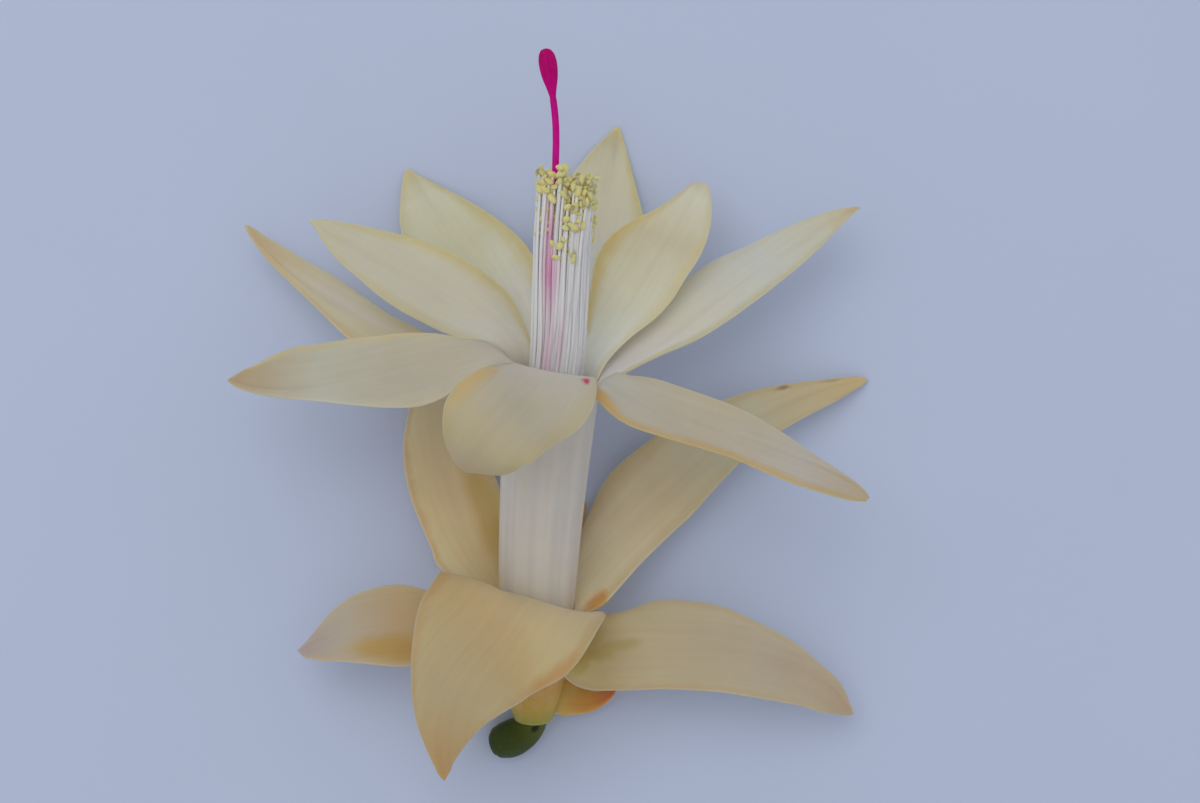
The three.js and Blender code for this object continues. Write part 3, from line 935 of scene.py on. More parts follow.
# What only the drawn blades have.
BLADE_HALF = 0.3  # half of the thickness at the midrib
TIP_THINNESS = 0.62  # the thickness at the tip, as a share of that
ROOT_THICKNESS = 1.15  # the thickness in the wall, as a share of that
EDGE_POWER = 0.65  # how blunt the edges are, 1 being a plain ellipse
MARGIN_SHARES = (0.0, 0.1, 0.2, 0.3, 0.4, 0.5, 0.6, 0.7, 0.8, 0.9, 0.96)
TIP_CLOSING = 0.93  # how much of its width the blade loses beyond the margin table
TIP_POWER = 1.5  # how late it loses it, 1 being evenly
GROOVE_WIDTH = 0.16  # as a share of the half width
RELIEF_RISE, RELIEF_FALL = (0.1, 0.3), (0.8, 1.0)  # shares where groove and waves come and go
WAVE_LAG = 1.3  # radians by which the right edge's waves are on, and the left edge's back
BULGE_RISE, BULGE_FALL = (0.3, 1.0), (0.2, 0.45)  # shares of the lead, then of the blade
BULGE_LEAN = 0.7  # how much fuller the right half of the bulge is
THIN_FROM = 0.35  # share of the length from which the blade thins
FACE_BLEND = 0.4  # sine of the ring's angle over which the outer face turns to the inner one
FACE_GRAIN = 3  # how far apart the cells of the two faces lie in the noise, so that they differ
LEAD_SHARE = 0.1  # of the midrib, which the lead stands for
LEAD_PULLS = (0.45, 0.35)  # of its two inner handles, as shares of the way
CLEAR_FROM = 0.4  # share of the lead from which the blade comes clear of the wall
FULL_WIDTH_AT = 0.85  # share of the lead where the blade is as wide as its margins say
ROW_CROWDING = 1.4  # power that crowds the rows towards the tip


INNER_TEPALS = (
    Tepal(
        "inner_tepal_front", station=MOUTH_SEAT, azimuth=95, leave=75, reach=0.5, cup=-1,
        start_width=6, middle=(-3.4, 0.3, 27.5), tip=(-7.4, -5.3, 21.5), faces=(0, 0, 1),
        left=(4.4, 5.7, 6.3, 6, 5.5, 5.2, 4.95, 4.45, 4.1, 3.4, 2.6),
        right=(4.6, 5.5, 5.6, 4.8, 4.85, 5.3, 5.3, 5, 4, 2.6, 1.6),
        finish=TepalFinish(
            along=((0, "d2ccbf"), (0.45, "c9c0aa"), (0.75, "cabd9b"), (1, "c7b08e")),
            rim="c6b07c", rim_left=0.45,
            patches=(
                Patch("d8b684", 0.98, 0.4, 0.4, 0.4, 0.8),
                Patch("c8206a", -0.74, 0.11, 0.12, 0.04, 0.9),
            ),
        ),
    ),
    Tepal(
        "inner_tepal_left", station=MOUTH_SEAT, azimuth=157, leave=66, start_width=5.6,
        middle=(-15.8, 4.2, 17.8), tip=(-31.6, 3.5, 13), faces=(0.1, 0.6, 0.9),
        left=(2.6, 3.8, 4.8, 5.4, 5.3, 4.45, 3.2, 1.95, 1.1, 0.7, 0.45),
        right=(2.8, 2.6, 2.4, 3, 3.5, 4, 4.6, 4.8, 4.7, 3.5, 2.1),
        finish=TepalFinish(
            along=((0, "d0c9b3"), (0.3, "cfc5af"), (0.7, "c8c5b4"), (1, "bda483")),
            rim="dcc293", rim_width=0.25, rim_left=0.25, rim_right=0.9,
        ),
    ),
    Tepal(
        "inner_tepal_low_left", station=MOUTH_SEAT - 5, azimuth=188, leave=50, start_width=3,
        root=Root.WALL, middle=(-17.2, 9.1, 7), tip=(-30.9, 19.5, 5), faces=(0.45, 0.5, 0.7),
        left=(1.8, 2.4, 2.9, 3.5, 4.2, 4.4, 3.3, 2.1, 1.15, 0.75, 0.45),
        right=(1.8, 2.2, 2.3, 2.1, 1.9, 1.85, 2.5, 2.9, 2.35, 1.5, 0.8),
        finish=TepalFinish(
            along=((0, "d5cec7"), (0.3, "dac7a5"), (0.6, "e4d6b7"), (1, "d6ba99")),
            rim="d8b98a", rim_left=0.8, rim_right=0.1,
            patches=(Patch("dccfca", 0.2, 0.6, 0.6, 0.3, 0.5),),
        ),
    ),
    Tepal(
        "inner_tepal_upper_left", station=MOUTH_SEAT, azimuth=208, leave=50, start_width=5.8,
        middle=(-12.7, 13.5, 10), tip=(-24, 19.8, 8), faces=(0.2, 0.1, 1),
        left=(2.8, 4.7, 4.5, 3.9, 3.7, 3.7, 3.35, 2.65, 2, 1, 0.3),
        right=(2.2, 3.3, 4, 3.95, 4, 3.95, 3.6, 2.95, 2.2, 1.35, 0.68),
        finish=TepalFinish(
            along=((0, "efe4cf"), (0.35, "ded7c3"), (0.75, "d8d1bd"), (1, "d2c9aa")),
            rim="d7bf82", rim_left=0.5, rim_right=0.8,
        ),
    ),
    Tepal(
        "inner_tepal_back_left", station=MOUTH_SEAT - 1.8, azimuth=229, leave=42, cup=0.7,
        start_width=5.4, crease=-0.45, crease_drop=0.25, root=Root.WALL, middle=(-7.6, 15.2, 4.8),
        tip=(-14.6, 25.6, 0.3), faces=(0.1, 0.1, 1),
        left=(2.8, 3.6, 4.1, 4.4, 4.6, 4.75, 5, 4.8, 3.9, 2.3, 1.15),
        right=(2.8, 3.8, 4.8, 5.5, 5.8, 5.7, 4.9, 3.8, 2.6, 1.3, 0.5),
        finish=TepalFinish(
            # Partly the throat's own white and partly painted light: the root is lighter, to make
            # up for the shade on it.
            along=(
                (0, "f9f4de"), (0.35, "ece4d1"), (0.6, "e2dab9"), (0.85, "f5e7c4"), (1, "ebcd9e"),
            ),
            rim="dcc184", rim_left=0.5, rim_right=0.85,
        ),
    ),
    Tepal(
        "inner_tepal_back", station=MOUTH_SEAT - 3.4, azimuth=281, leave=38, cup=0.7,
        start_width=5.6, root=Root.WALL, middle=(5.1, 17.2, 3), tip=(7.4, 30, 0.3),
        faces=(-0.05, 0.1, 1),
        left=(2.8, 3.6, 4.4, 5, 5.3, 5.4, 5.2, 4.4, 3.15, 1.82, 0.8),
        right=(2.8, 3.5, 4.2, 4.7, 4.9, 4.9, 4.4, 3.2, 2, 0.95, 0.4),
        finish=TepalFinish(
            # Painted light: the root and the tip are lighter than the tissue, to make up for the
            # shade that falls on them.
            along=(
                (0, "f9f9ec"), (0.4, "f9f5e9"), (0.62, "f3e2c6"), (0.85, "ffe4bb"), (1, "fdd090"),
            ),
            rim="dfc488", rim_left=0.5, rim_right=0.9,
        ),
    ),
    Tepal(
        "inner_tepal_back_right", station=MOUTH_SEAT, azimuth=312, leave=42, start_width=5.8,
        middle=(10.9, 15.5, 9.6), tip=(16.1, 23.7, 5), faces=(-0.2, 0.1, 1),
        left=(2, 2.3, 3.4, 4.3, 5.1, 5.1, 4.1, 2.6, 1.65, 1.2, 1),
        right=(2.2, 2.55, 2.95, 3.5, 3.8, 3.85, 3.95, 3.5, 2.6, 1.45, 0.8),
        finish=TepalFinish(
            # Partly the throat's own white and partly painted light: the root is lighter, to make
            # up for the shade on it.
            along=(
                (0, "f9f7e7"), (0.35, "f0e8cd"), (0.6, "dbcfb5"), (0.85, "eee3c8"), (1, "e2d0a8"),
            ),
            rim="dbbf84", rim_left=0.9, rim_right=0.5,
        ),
    ),
    Tepal(
        "inner_tepal_right", station=MOUTH_SEAT - 1.8, azimuth=346, leave=58, start_width=5,
        root=Root.WALL, middle=(19.1, 12.8, 8.5), tip=(31.8, 21.1, 8), faces=(-0.3, 0.4, 0.8),
        left=(2.2, 2.8, 3.1, 3.65, 4.05, 3.9, 2.9, 2.3, 1.7, 0.9, 0.35),
        right=(1.1, 1.1, 1.7, 2.75, 3.05, 3.1, 2.9, 2.65, 2.15, 1.25, 0.5),
        finish=TepalFinish(
            along=(
                (0, "e9e4e3"), (0.35, "ede4d0"), (0.6, "dbd9ce"), (0.85, "dad1bb"), (1, "cdac82"),
            ),
            rim="cdc098", rim_left=0.4, rim_right=0.8,
        ),
    ),
    Tepal(
        "inner_tepal_lower_right", station=MOUTH_SEAT, azimuth=33, leave=125, reach=0.4,
        start_width=5.8, middle=(18.9, -2.1, 18.5), tip=(32, -8.1, 15), faces=(0.2, 0.5, 0.8),
        left=(3.8, 2.85, 3.3, 3.3, 3.15, 2.8, 2.1, 1.3, 0.65, 0.28, 0.22),
        right=(3, 3.6, 4.5, 3.8, 3.1, 2.8, 3.15, 3.4, 3.05, 2, 1.1),
        finish=TepalFinish(
            along=((0, "cac8bb"), (0.4, "ccc1ab"), (0.7, "cac2b7"), (1, "d0b592")),
            rim="ccaa74", rim_left=0.3, rim_right=0.85,
            patches=(Patch("d9b070", 0.85, 0.1, 0.4, 0.1, 0.75),),
        ),
    ),
)

OUTER_TEPALS = (
    Tepal(
        "outer_tepal_front", station=FOOT_SEAT, azimuth=93, leave=70, reach=0.6, cup=-1,
        start_width=8.4, bulge=2.3, opening=2, root=Root.WALL, middle=(-6.5, -23.9, 16.5),
        tip=(-9.9, -35.9, 16.5), faces=(0.1, 0.2, 1),
        left=(9, 8.8, 7.9, 6.7, 6.2, 6, 5.55, 4.8, 3.7, 2.3, 1.05),
        right=(8.4, 9.8, 10, 9.6, 8.8, 7.9, 6.2, 4.5, 3, 1.45, 0.65),
        finish=TepalFinish(
            along=(
                (0, "e2d1b4"), (0.12, "d7c49e"), (0.35, "d3ba8c"), (0.7, "c4b490"), (1, "c19b6e"),
            ),
            rim="c49a72", rim_width=0.22, rim_left=0.55, rim_right=0.75,
            patches=(Patch("cc8a4e", -1, 0.3, 0.26, 0.16, 0.6),),
        ),
    ),
    Tepal(
        "outer_tepal_left", station=FOOT_SEAT - 2, azimuth=165, leave=85, cup=0.6, start_width=4,
        root=Root.WALL, middle=(-14.8, -21.3, 8), tip=(-25.4, -24.1, 5.5), faces=(0, 0.35, 1),
        left=(2, 3, 3.8, 4.2, 4.3, 4.5, 4.1, 3.5, 2.8, 2.05, 1.3),
        right=(1.9, 2.6, 2.9, 2.75, 3.6, 4.2, 4.1, 3.5, 2.3, 0.9, 0.3),
        finish=TepalFinish(
            along=((0, "d1b87e"), (0.5, "cdb48e"), (0.75, "c4b8a7"), (1, "b7a4a3")),
            rim="c9ac8c", rim_left=0.7, rim_right=0.4,
            patches=(Patch("c6a35c", -0.55, 0.55, 0.5, 0.28, 0.8),),
        ),
    ),
    Tepal(
        "outer_tepal_back_left", station=FOOT_SEAT, azimuth=202, leave=38, start_width=5.6,
        root=Root.WALL, middle=(-9.7, -7.7, 3.6), tip=(-11.7, 2.9, 2.5), faces=(0.3, 0, 1),
        left=(3.6, 5, 6, 4.6, 4.4, 4.6, 4.5, 4, 3.2, 2.4, 1.7),
        right=(2.7, 3.6, 4.2, 4.5, 4.7, 4.6, 4.2, 3.5, 2.8, 2, 1.3),
        finish=TepalFinish(
            # Painted light: the colours are lighter than the tissue, most towards the tip, to make
            # up for the shade of the tepals over it.
            along=((0, "f6deb4"), (0.5, "f4d2aa"), (0.8, "fdd9b6"), (1, "ffd9ba")),
            rim="d09a70", rim_width=0.25, rim_right=0.2,
            # Partly its own greenish midrib and partly painted shade of the tube: an olive-yellow
            # patch beside the tube.
            patches=(Patch("d6b86e", 0.55, 0.4, 0.5, 0.35, 0.7),),
        ),
    ),
    Tepal(
        "outer_tepal_under", station=FOOT_SEAT - 1, azimuth=260, leave=20, cup=0.2,
        start_width=2.4, groove=0.05, wave=0.05, root=Root.WALL, middle=(0.5, -14.4, 0.9),
        tip=(3.8, -8.9, 0.6), faces=(0, 0, 1),
        left=(1.2, 1.45, 1.6, 1.7, 1.8, 1.8, 1.7, 1.45, 1.15, 0.75, 0.45),
        right=(1.2, 1.45, 1.6, 1.7, 1.8, 1.8, 1.7, 1.45, 1.15, 0.75, 0.45),
        finish=TepalFinish(
            along=((0, "d8bd80"), (0.6, "dcae6e"), (1, "e0ac6c")),
            rim="cf8040",
        ),
    ),
    Tepal(
        "outer_tepal_back_right", station=FOOT_SEAT - 0.4, azimuth=322, leave=45, reach=0.6,
        cup=0.6, start_width=6.6, opening=2.2, root=Root.WALL, middle=(15.9, -4.9, 3.8),
        tip=(33.3, 3.7, 0.25), faces=(-0.05, 0.1, 1),
        left=(2.6, 3.5, 4.4, 5.5, 5.35, 4.9, 4.2, 3.2, 1.95, 0.9, 0.58),
        right=(7.4, 5.3, 4, 3.6, 3.45, 2.9, 2.3, 2, 1.8, 1.4, 0.8),
        finish=TepalFinish(
            # Painted light: the root is painted lighter than the tissue, to make up for the shade
            # that the tube casts on it.
            along=(
                (0, "f9e3c1"), (0.2, "f9dfbe"), (0.38, "e1cdac"), (0.6, "c9c4ad"), (1, "ddbc8e"),
            ),
            rim="c7a578", rim_right=0.5,
            patches=(
                # Partly the rim's own orange and partly painted shade: the orange-brown wedge on
                # the shaded root margin.
                Patch("d49a4a", 0.9, 0.03, 0.5, 0.085, 0.85),
                Patch("8a6a4a", -0.85, 0.78, 0.16, 0.03, 0.7),
                Patch("a58662", -0.8, 0.9, 0.3, 0.05, 0.5),
            ),
        ),
    ),
    Tepal(
        "outer_tepal_right", station=FOOT_SEAT - 5, azimuth=5, leave=85, cup=0.6, start_width=7,
        face_turn=0.15, root=Root.WALL, middle=(17.8, -24, 7), tip=(31.5, -30.8, 3.5),
        faces=(0, 0.3, 1),
        left=(4.2, 4.4, 4, 4.9, 4.95, 4.5, 3.35, 2.4, 1.4, 0.95, 0.35),
        right=(4.4, 4.9, 4.5, 4.2, 4.3, 4.35, 4.4, 4.1, 3.5, 2.6, 1.5),
        finish=TepalFinish(
            along=((0, "d9c489"), (0.25, "d1c19f"), (0.65, "c7b9a4"), (1, "c3aa92")),
            rim="c6a684", rim_width=0.25, rim_right=0.7,
            patches=(
                # Partly the root's own green and partly painted shade: a diagonal streak in the
                # fold of the root.
                Patch("b8a84e", 0.45, 0.045, 0.6, 0.055, 0.45),
                Patch("b8a84e", 0.08, 0.1, 0.26, 0.1, 0.45),
                Patch("b5a85a", -0.12, 0.19, 0.2, 0.1, 0.45),
            ),
        ),
    ),
    Tepal(
        "outer_tepal_foot", station=1.5, azimuth=345, leave=72, cup=0.2, start_width=2,
        face_turn=0.03, opening=3, groove=0.05, wave=0.05, root=Root.WALL,
        middle=(3.4, -29.8, 2.5), tip=(7.1, -28.4, 2.8), faces=(0, 0.2, 1),
        left=(2.6, 2.5, 2.3, 2, 1.8, 1.7, 1.5, 1.3, 1, 0.65, 0.35),
        right=(1.3, 1.7, 1.55, 1.35, 1.2, 1.1, 1, 0.9, 0.75, 0.55, 0.35),
        finish=TepalFinish(
            # Painted light: the fade is lighter than the tissue, to make up for the deep shade
            # under the front and right tepals. The red tip is its own.
            along=((0, "e5c278"), (0.35, "e2b568"), (0.7, "dd9e56"), (1, "d16e56")),
            rim="e09a58",
        ),
    ),
)


@dataclass(frozen=True)
class Ovary:
    """The green ovary under the tube, a blunt egg with a dark patch beside the tube's foot."""

    foot: Point = (-5.9, -34.2, 1.4)  # middle of its stem end
    bend: float = 1.5  # distance below the tube over which it turns aside
    radius: float = 1.93  # where it is fullest
    overlap: float = 0.5  # how far it reaches up round the tube's foot
    outline: Table = (  # rows of a share of its length and how full it is there
        (0, 0), (0.015, 0.3), (0.08, 0.68), (0.22, 0.92), (0.42, 1), (0.64, 0.91), (0.85, 0.77),
        (1, 0.7),
    )
    lobes: int = 5  # how many low lobes it has round it
    lobe_height: float = 0.03  # of them, as a share of the radius
    lobes_rise: tuple[float, float] = (0.05, 0.4)  # shares of its length over which they rise
    # A dense green skin takes in little light, so it looks dark under a dull wax shine.
    finish: LengthwiseFinish = LengthwiseFinish(  # from the stem end to the tube
        along=((0, "2e3612"), (0.15, "3e4a16"), (0.6, "434e18"), (0.9, "5c6222"), (1, "8f8838")),
        speckle="4d5720",
        speckle_size=0.5,
        speckle_cover=0.5,
        tissue=Tissue(
            depth=(0.5, 0.7, 0.3), glow=0.15, roughness=0.45, gloss=0.25, relief=0.05,
            grain_length=1.2,
        ),
        patches=(Patch("17180e", -0.62, 0.905, 0.14, 0.11, 0.85),),
    )

    def surface(self, tube: FloralTube) -> Surface:
        """Draws the egg: rings of the outline's radius on a bent axis, with cosine lobes round it.

        Args:
            tube: what stands on it.

        Returns:
            The ovary's surface.
        """
        start = tube.axis.frames(0.0)
        forward = start.forward[0]
        foot = np.array(self.foot)
        top = start.centre[0] - forward * SEAT_GAP
        elbow = top - forward * self.bend
        top = top + forward * self.overlap
        handles = np.array([foot, mix(foot, elbow, 2 / 3), mix(top, elbow, 2 / 3), top])
        axis = Curve(bezier(handles, np.linspace(0.0, 1.0, EGG_AXIS))[0])
        share = np.sin(np.linspace(0.0, np.pi / 2, EGG_ROWS)) ** 2
        angles = circle(EGG_SIDES)
        fade = ease(share, *self.lobes_rise)[:, None]
        lobes = 1 + self.lobe_height * fade * np.cos(self.lobes * angles)
        radii = self.radius * (through(self.outline, share)[:, None] * lobes)
        return lathed(axis, share * axis.length, angles, radii, self.radius)

    def build(self, tube: FloralTube) -> None:
        """Makes the ovary's piece."""
        finish = self.finish.material("ovary, grown fleshy skin")
        make_piece("ovary_egg", self.surface(tube), finish, "ovary")


@dataclass(frozen=True)
class Style:
    """The magenta style, a slim rod up the tube's middle that ends in a club of stigma lobes."""

    # Points that it passes after the mouth, the last one the stigma's tip.
    beyond_mouth: tuple[Point, ...] = (
        (1.0, 16.3, 16.8), (1.1, 23.7, 17.6), (1.1, 29.0, 17.7), (0.1, 36.1, 17.0),
    )
    start: float = 1.0  # its distance from the tube's foot
    radius: float = 0.34  # of the rod
    stigma_length: float = 4.9  # of the club
    stigma_radius: float = 0.86  # of the club where it is fullest
    lobes: int = 7  # how many make the club
    lobe_depth: float = 0.16  # of the grooves between them, as a share of the radius
    lobe_power: float = 0.7  # of the cosine between them, lower for a sharper groove
    lobe_middle: float = 0.6  # what is taken off that, so that the club keeps its girth
    lobes_rise: tuple[float, float] = (0.05, 0.3)  # shares of the club over which they rise
    crowding: float = 0.8  # power that crowds the club's rows towards its tip
    outline: Table = (  # rows of a share of the club's length and how full it is there
        (0, 0.36), (0.2, 0.6), (0.4, 0.86), (0.6, 1), (0.78, 0.97), (0.92, 0.72), (0.98, 0.42),
        (1, 0.12),
    )
    # Magenta sap fills its cells, so the colour is deep and even, with hardly a shine.
    finish: LengthwiseFinish = LengthwiseFinish(  # from the ovary to the tip
        along=((0, "e0a8c4"), (0.45, "df62a8"), (0.75, "e01cac"), (0.93, "d00488"), (1, "cc006e")),
        speckle="b8005a",
        speckle_size=0.9,
        speckle_cover=0.3,
        tissue=Tissue(
            depth=(1.0, 0.2, 0.6), glow=0.25, gloss=0.12, grain_length=2.0, unevenness=0.08
        ),
    )

    def axis(self, tube: FloralTube) -> Curve:
        """Gives its axis, a curve through six points of the tube's axis and then its own."""
        inside = tube.axis.frames(np.linspace(0.0, tube.axis.length, 6)).centre
        return Curve(spline(np.vstack([inside, np.array(self.beyond_mouth)]), STYLE_STEPS))

    def surface(self, tube: FloralTube) -> Surface:
        """Draws rings of the rod's radius, then of the club's, whose radius dips between its lobes.

        The dip is the cosine of the lobes' angle, sharpened where it is low.

        Args:
            tube: what it runs through.

        Returns:
            The style's surface.
        """
        axis = self.axis(tube)
        rod_end = axis.length - self.stigma_length
        share = np.linspace(0.0, 1.0, CLUB_ROWS) ** self.crowding
        rod = np.linspace(self.start, rod_end, ROD_ROWS, endpoint=False)
        stations = np.concatenate([rod, rod_end + share * self.stigma_length])
        club = through(self.outline, share) * self.stigma_radius
        radii = np.concatenate([np.full(ROD_ROWS, self.radius), club])[:, None]
        angles = circle(STYLE_SIDES)
        wave = np.abs(np.cos(angles * self.lobes / 2)) ** self.lobe_power - self.lobe_middle
        lobed = np.concatenate([np.zeros(ROD_ROWS), ease(share, *self.lobes_rise)])
        lobed = (lobed * self.lobe_depth)[:, None]
        return lathed(axis, stations, angles, radii * (1 + lobed * wave))

    def build(self, tube: FloralTube) -> None:
        """Makes the style's piece."""
        finish = self.finish.material("style and stigma, grown magenta tissue")
        make_piece("style_and_stigma", self.surface(tube), finish, "style")


@dataclass(frozen=True)
class AntherGroup:
    """Filaments whose anthers gather in one place, as seen from above."""

    count: int  # how many filaments
    left: float  # of the group's left side, as a place across the bunch from -1 to 1
    right: float  # of its right side
    nearest: float  # how far beyond the mouth its nearest anther is
    farthest: float  # how far its farthest is
    depth: float = 1.0  # share of the bunch's depth that it takes
    # Power of the random depth. A low one crowds the filaments on the outside.
    crowding: float = 0.35


@dataclass(frozen=True)
class Streak:
    """A line of blush along the bunch, where the style shows through it."""

    at_mouth: float  # how far right of the style it lies at the tube's mouth
    at_top: float  # how far right of the style it lies at the anthers
    width: float  # half of its width
    strength: Table  # rows of a distance beyond the mouth and how strong it is there


@dataclass(frozen=True, kw_only=True)
class FilamentFinish(Finish):
    """Filament tissue: slim white threads that let the magenta style show through as a blush."""

    colour: str = "f8f4f2"
    blush: str = "ef96c4"  # where the style shows through
    tissue: Tissue = Tissue(
        depth=(0.4, 0.32, 0.3), glow=0.25, roughness=0.5, grain_width=0.25, relief=0.0,
        unevenness=0.01,
    )

    def painted(self, tree: Tree, place: Socket) -> tuple[Socket, Socket]:
        """Paints the threads' colour, mixed to the blush by the first value of their place."""
        blushed = add(tree, "SeparateXYZ", None, {0: place}).outputs["X"]
        return place, mixed(tree, blushed, linear(self.colour), self.blush)


@dataclass(frozen=True)
class Stamens:
    """The bunch of filaments round the style, with an anther at the end of each."""

    seed: int = 11  # of the scatter
    collar_station: float = 9.0  # of the ring in the tube that the filaments stand on
    collar_height: float = 1.6  # of that ring
    collar_radii: tuple[float, float] = (0.5, 2.6)  # its inner and outer radius
    at_collar: float = 1.9  # the bunch's radius at the collar
    at_mouth: float = 2.65  # its radius at the tube's mouth
    at_top: float = 3.0  # its radius at the anthers
    drift: float = 1.1  # how far the bunch's end lies to the right of the style
    clearance: float = 0.35  # between the style and the innermost filaments
    thread: float = 0.21  # radius of a filament
    thinning: float = 0.75  # its radius at the anther, as a share of that
    groups: tuple[AntherGroup, ...] = (  # where the anthers gather
        AntherGroup(84, -1.0, 0.05, 15.6, 18.9),
        AntherGroup(96, 0.25, 1.0, 15.0, 18.2),
        AntherGroup(64, 0.0, 0.75, 12.6, 15.4),
        AntherGroup(40, -0.45, 0.4, 10.4, 12.8),
        AntherGroup(160, -0.95, 0.95, 12.0, 15.0, depth=0.75, crowding=0.9),
    )
    streaks: tuple[Streak, ...] = (  # where the style shows through
        Streak(
            -0.95, -0.1, 0.42,
            ((-5, 0.3), (0, 0.45), (6, 0.4), (8, 0.85), (10.4, 0.85), (11.4, 0.1)),
        ),
        Streak(-0.5, -0.5, 0.22, ((10.8, 0), (12, 0.75), (14.8, 0.7), (16.2, 0))),
        Streak(0.3, 0.6, 0.18, ((-2, 0.3), (0, 0.5), (3, 0.4), (5, 0))),
    )
    anther_length: float = 1.15
    anther_radius: float = 0.31
    filament_finish: FilamentFinish = FilamentFinish()
    # Pollen sends light back at all angles, so the grains look matt and chalky.
    anther_finish: LengthwiseFinish = LengthwiseFinish(
        along=((0, "f2e090"), (0.5, "f9eaa2"), (1, "f0de8a")),
        speckle="f6e6a0",
        speckle_size=0.25,
        speckle_cover=0.8,
        tissue=Tissue(depth=(0.9, 0.8, 0.5), glow=0.7, roughness=0.9, gloss=0.03, grain_length=0.4),
    )

    def collar(self, tube: FloralTube) -> Surface:
        """Draws the ring inside the tube: a round-edged square section carried round the axis.

        Args:
            tube: what it stands in.

        Returns:
            The collar's surface.
        """
        turn = circle(COLLAR_ROWS)
        inner, outer = self.collar_radii
        swell = (np.abs(np.cos(turn)) ** 4 + np.abs(np.sin(turn)) ** 4) ** -0.25
        radii = (inner + outer) / 2 + (outer - inner) / 2 * swell * np.cos(turn)
        stations = self.collar_station + self.collar_height / 2 * (1 + swell * np.sin(turn))
        rings = tube.axis.frames(stations).rings(circle(COLLAR_SIDES), radii[:, None])
        return swept(rings, (0.0, 0.0, 0.0), rings.transpose(2, 0, 1), endless=True)

    def build(self, tube: FloralTube, style: Style) -> None:
        """Makes the filaments' piece, with the collar, and the anthers' piece.

        Args:
            tube: what the bunch stands in.
            style: what it stands round.
        """
        axis, mouth = style.axis(tube), tube.axis.length
        random = np.random.default_rng(self.seed)
        members = [group for group in self.groups for _ in range(group.count)]
        pairs = [self.stamen(axis, mouth, group, random) for group in members]
        threads, anthers = zip(*pairs)
        finish = self.filament_finish.material("filaments, grown white tissue")
        surface = joined((self.collar(tube), *threads))
        make_piece("filaments", surface, finish, "stamens")
        finish = self.anther_finish.material("anthers, grown pollen sacs")
        make_piece("anthers", joined(anthers), finish)

    def stamen(
        self, axis: Curve, mouth: float, group: AntherGroup, random: np.random.Generator
    ) -> tuple[Surface, Surface]:
        """Draws one filament beside the style, and its anther.

        The filament's place across the bunch widens from the collar to the mouth and on to the
        top, and sways by a sine along it.

        Args:
            axis: the style's.
            mouth: station of the tube's mouth.
            group: where its anther goes.
            random: where its scatter comes from.

        Returns:
            The filament's surface and the anther's.
        """
        across = random.uniform(group.left, group.right) * BUNCH_FILL
        lie = random.uniform(-1.0, 1.0)
        room = np.sqrt(1 - across**2) * group.depth
        height = np.sign(lie) * room * abs(lie) ** group.crowding
        reach = random.uniform(group.nearest, group.farthest)
        sway, phase = random.uniform(*SWAYS), random.uniform(0, 2 * np.pi)
        foot = self.collar_station + self.collar_height / 2
        hidden = np.linspace(foot, mouth - BEFORE_MOUTH, HIDDEN_ROWS, endpoint=False)
        stations = np.append(hidden, np.linspace(mouth - BEFORE_MOUTH, mouth + reach, SHOWN_ROWS))
        inside = ease(stations, foot, mouth)
        beyond = np.clip((stations - mouth) / reach, 0.0, 1.0)
        spread = mix(mix(self.at_collar, self.at_mouth, inside), self.at_top, beyond)
        gap = mix(self.clearance, 0.0, ease(np.abs(across) + np.abs(height), 0.0, CORE))
        frames = axis.frames(stations)
        wobble = sway * np.sin(stations * SWAY_RATE + phase)
        to_right = across * spread + self.drift * beyond + wobble
        to_top = height * spread + np.sign(height) * gap + wobble * SWAY_UP
        centre = frames.centre + frames.right * to_right[:, None] + frames.top * to_top[:, None]
        thread, spin = Curve(centre), circle(THREAD_SIDES)
        radii = self.thread * mix(1.0, self.thinning, beyond)[:, None]
        rings = thread.frames(thread.stations).rings(spin, radii)
        blush = self.blush(stations - mouth, beyond, to_right) * ease(to_top, *BLUSH_RISE)
        along = (stations / stations[-1])[:, None]
        surface = swept(rings, (blush[:, None], along, 0.0), (spin, along * THREAD_LENGTH, phase))
        return surface, self.anther(centre[-1], frames.forward[-1], random)

    def blush(self, past_mouth: Array, beyond: Array, to_right: Array) -> Array:
        """Adds up the streaks: each one's strength times a bell of the distance from its line.

        Args:
            past_mouth: distance beyond the mouth.
            beyond: the same as a share of the filament's way from the mouth to its anther.
            to_right: distance to the right of the style.

        Returns:
            How strong the blush is, from 0 to 1.
        """
        total = 0 * to_right
        for streak in self.streaks:
            away = to_right - mix(streak.at_mouth, streak.at_top, beyond)
            bell = np.exp(-((away / streak.width) ** 2))
            total = total + np.clip(through(streak.strength, past_mouth), 0.0, 1.0) * bell
        return np.clip(total, 0.0, 1.0)

    def anther(self, centre: Array, forward: Array, random: np.random.Generator) -> Surface:
        """Draws one anther, tilted at random: round along it, and pinched between two lobes.

        Args:
            centre: its middle, on the filament's end.
            forward: the way the filament runs there.
            random: where its tilt comes from.

        Returns:
            The anther's surface.
        """
        tilt = unit(forward * random.uniform(*ANTHER_KEEPS) + random.normal(0.0, ANTHER_SCATTER, 3))
        size = random.uniform(*ANTHER_SIZES)
        half = self.anther_length / 2 * size
        axis = Curve(centre + tilt * np.array([[-half], [half]]))
        turn = np.linspace(0.0, np.pi, ANTHER_ROWS + 2)[1:-1]
        share = (1 - np.cos(turn)) / 2
        spin = circle(ANTHER_SIDES)
        pinch = 1 - ANTHER_PINCH * np.cos(2 * spin + random.uniform(0, 2 * np.pi))
        radii = self.anther_radius * size * np.sin(turn)[:, None] ** ANTHER_POWER * pinch
        rings = axis.frames(share * axis.length).rings(spin, radii)
        return swept(rings, (spin / np.pi - 1, share[:, None], 1.0), rings.transpose(2, 0, 1))


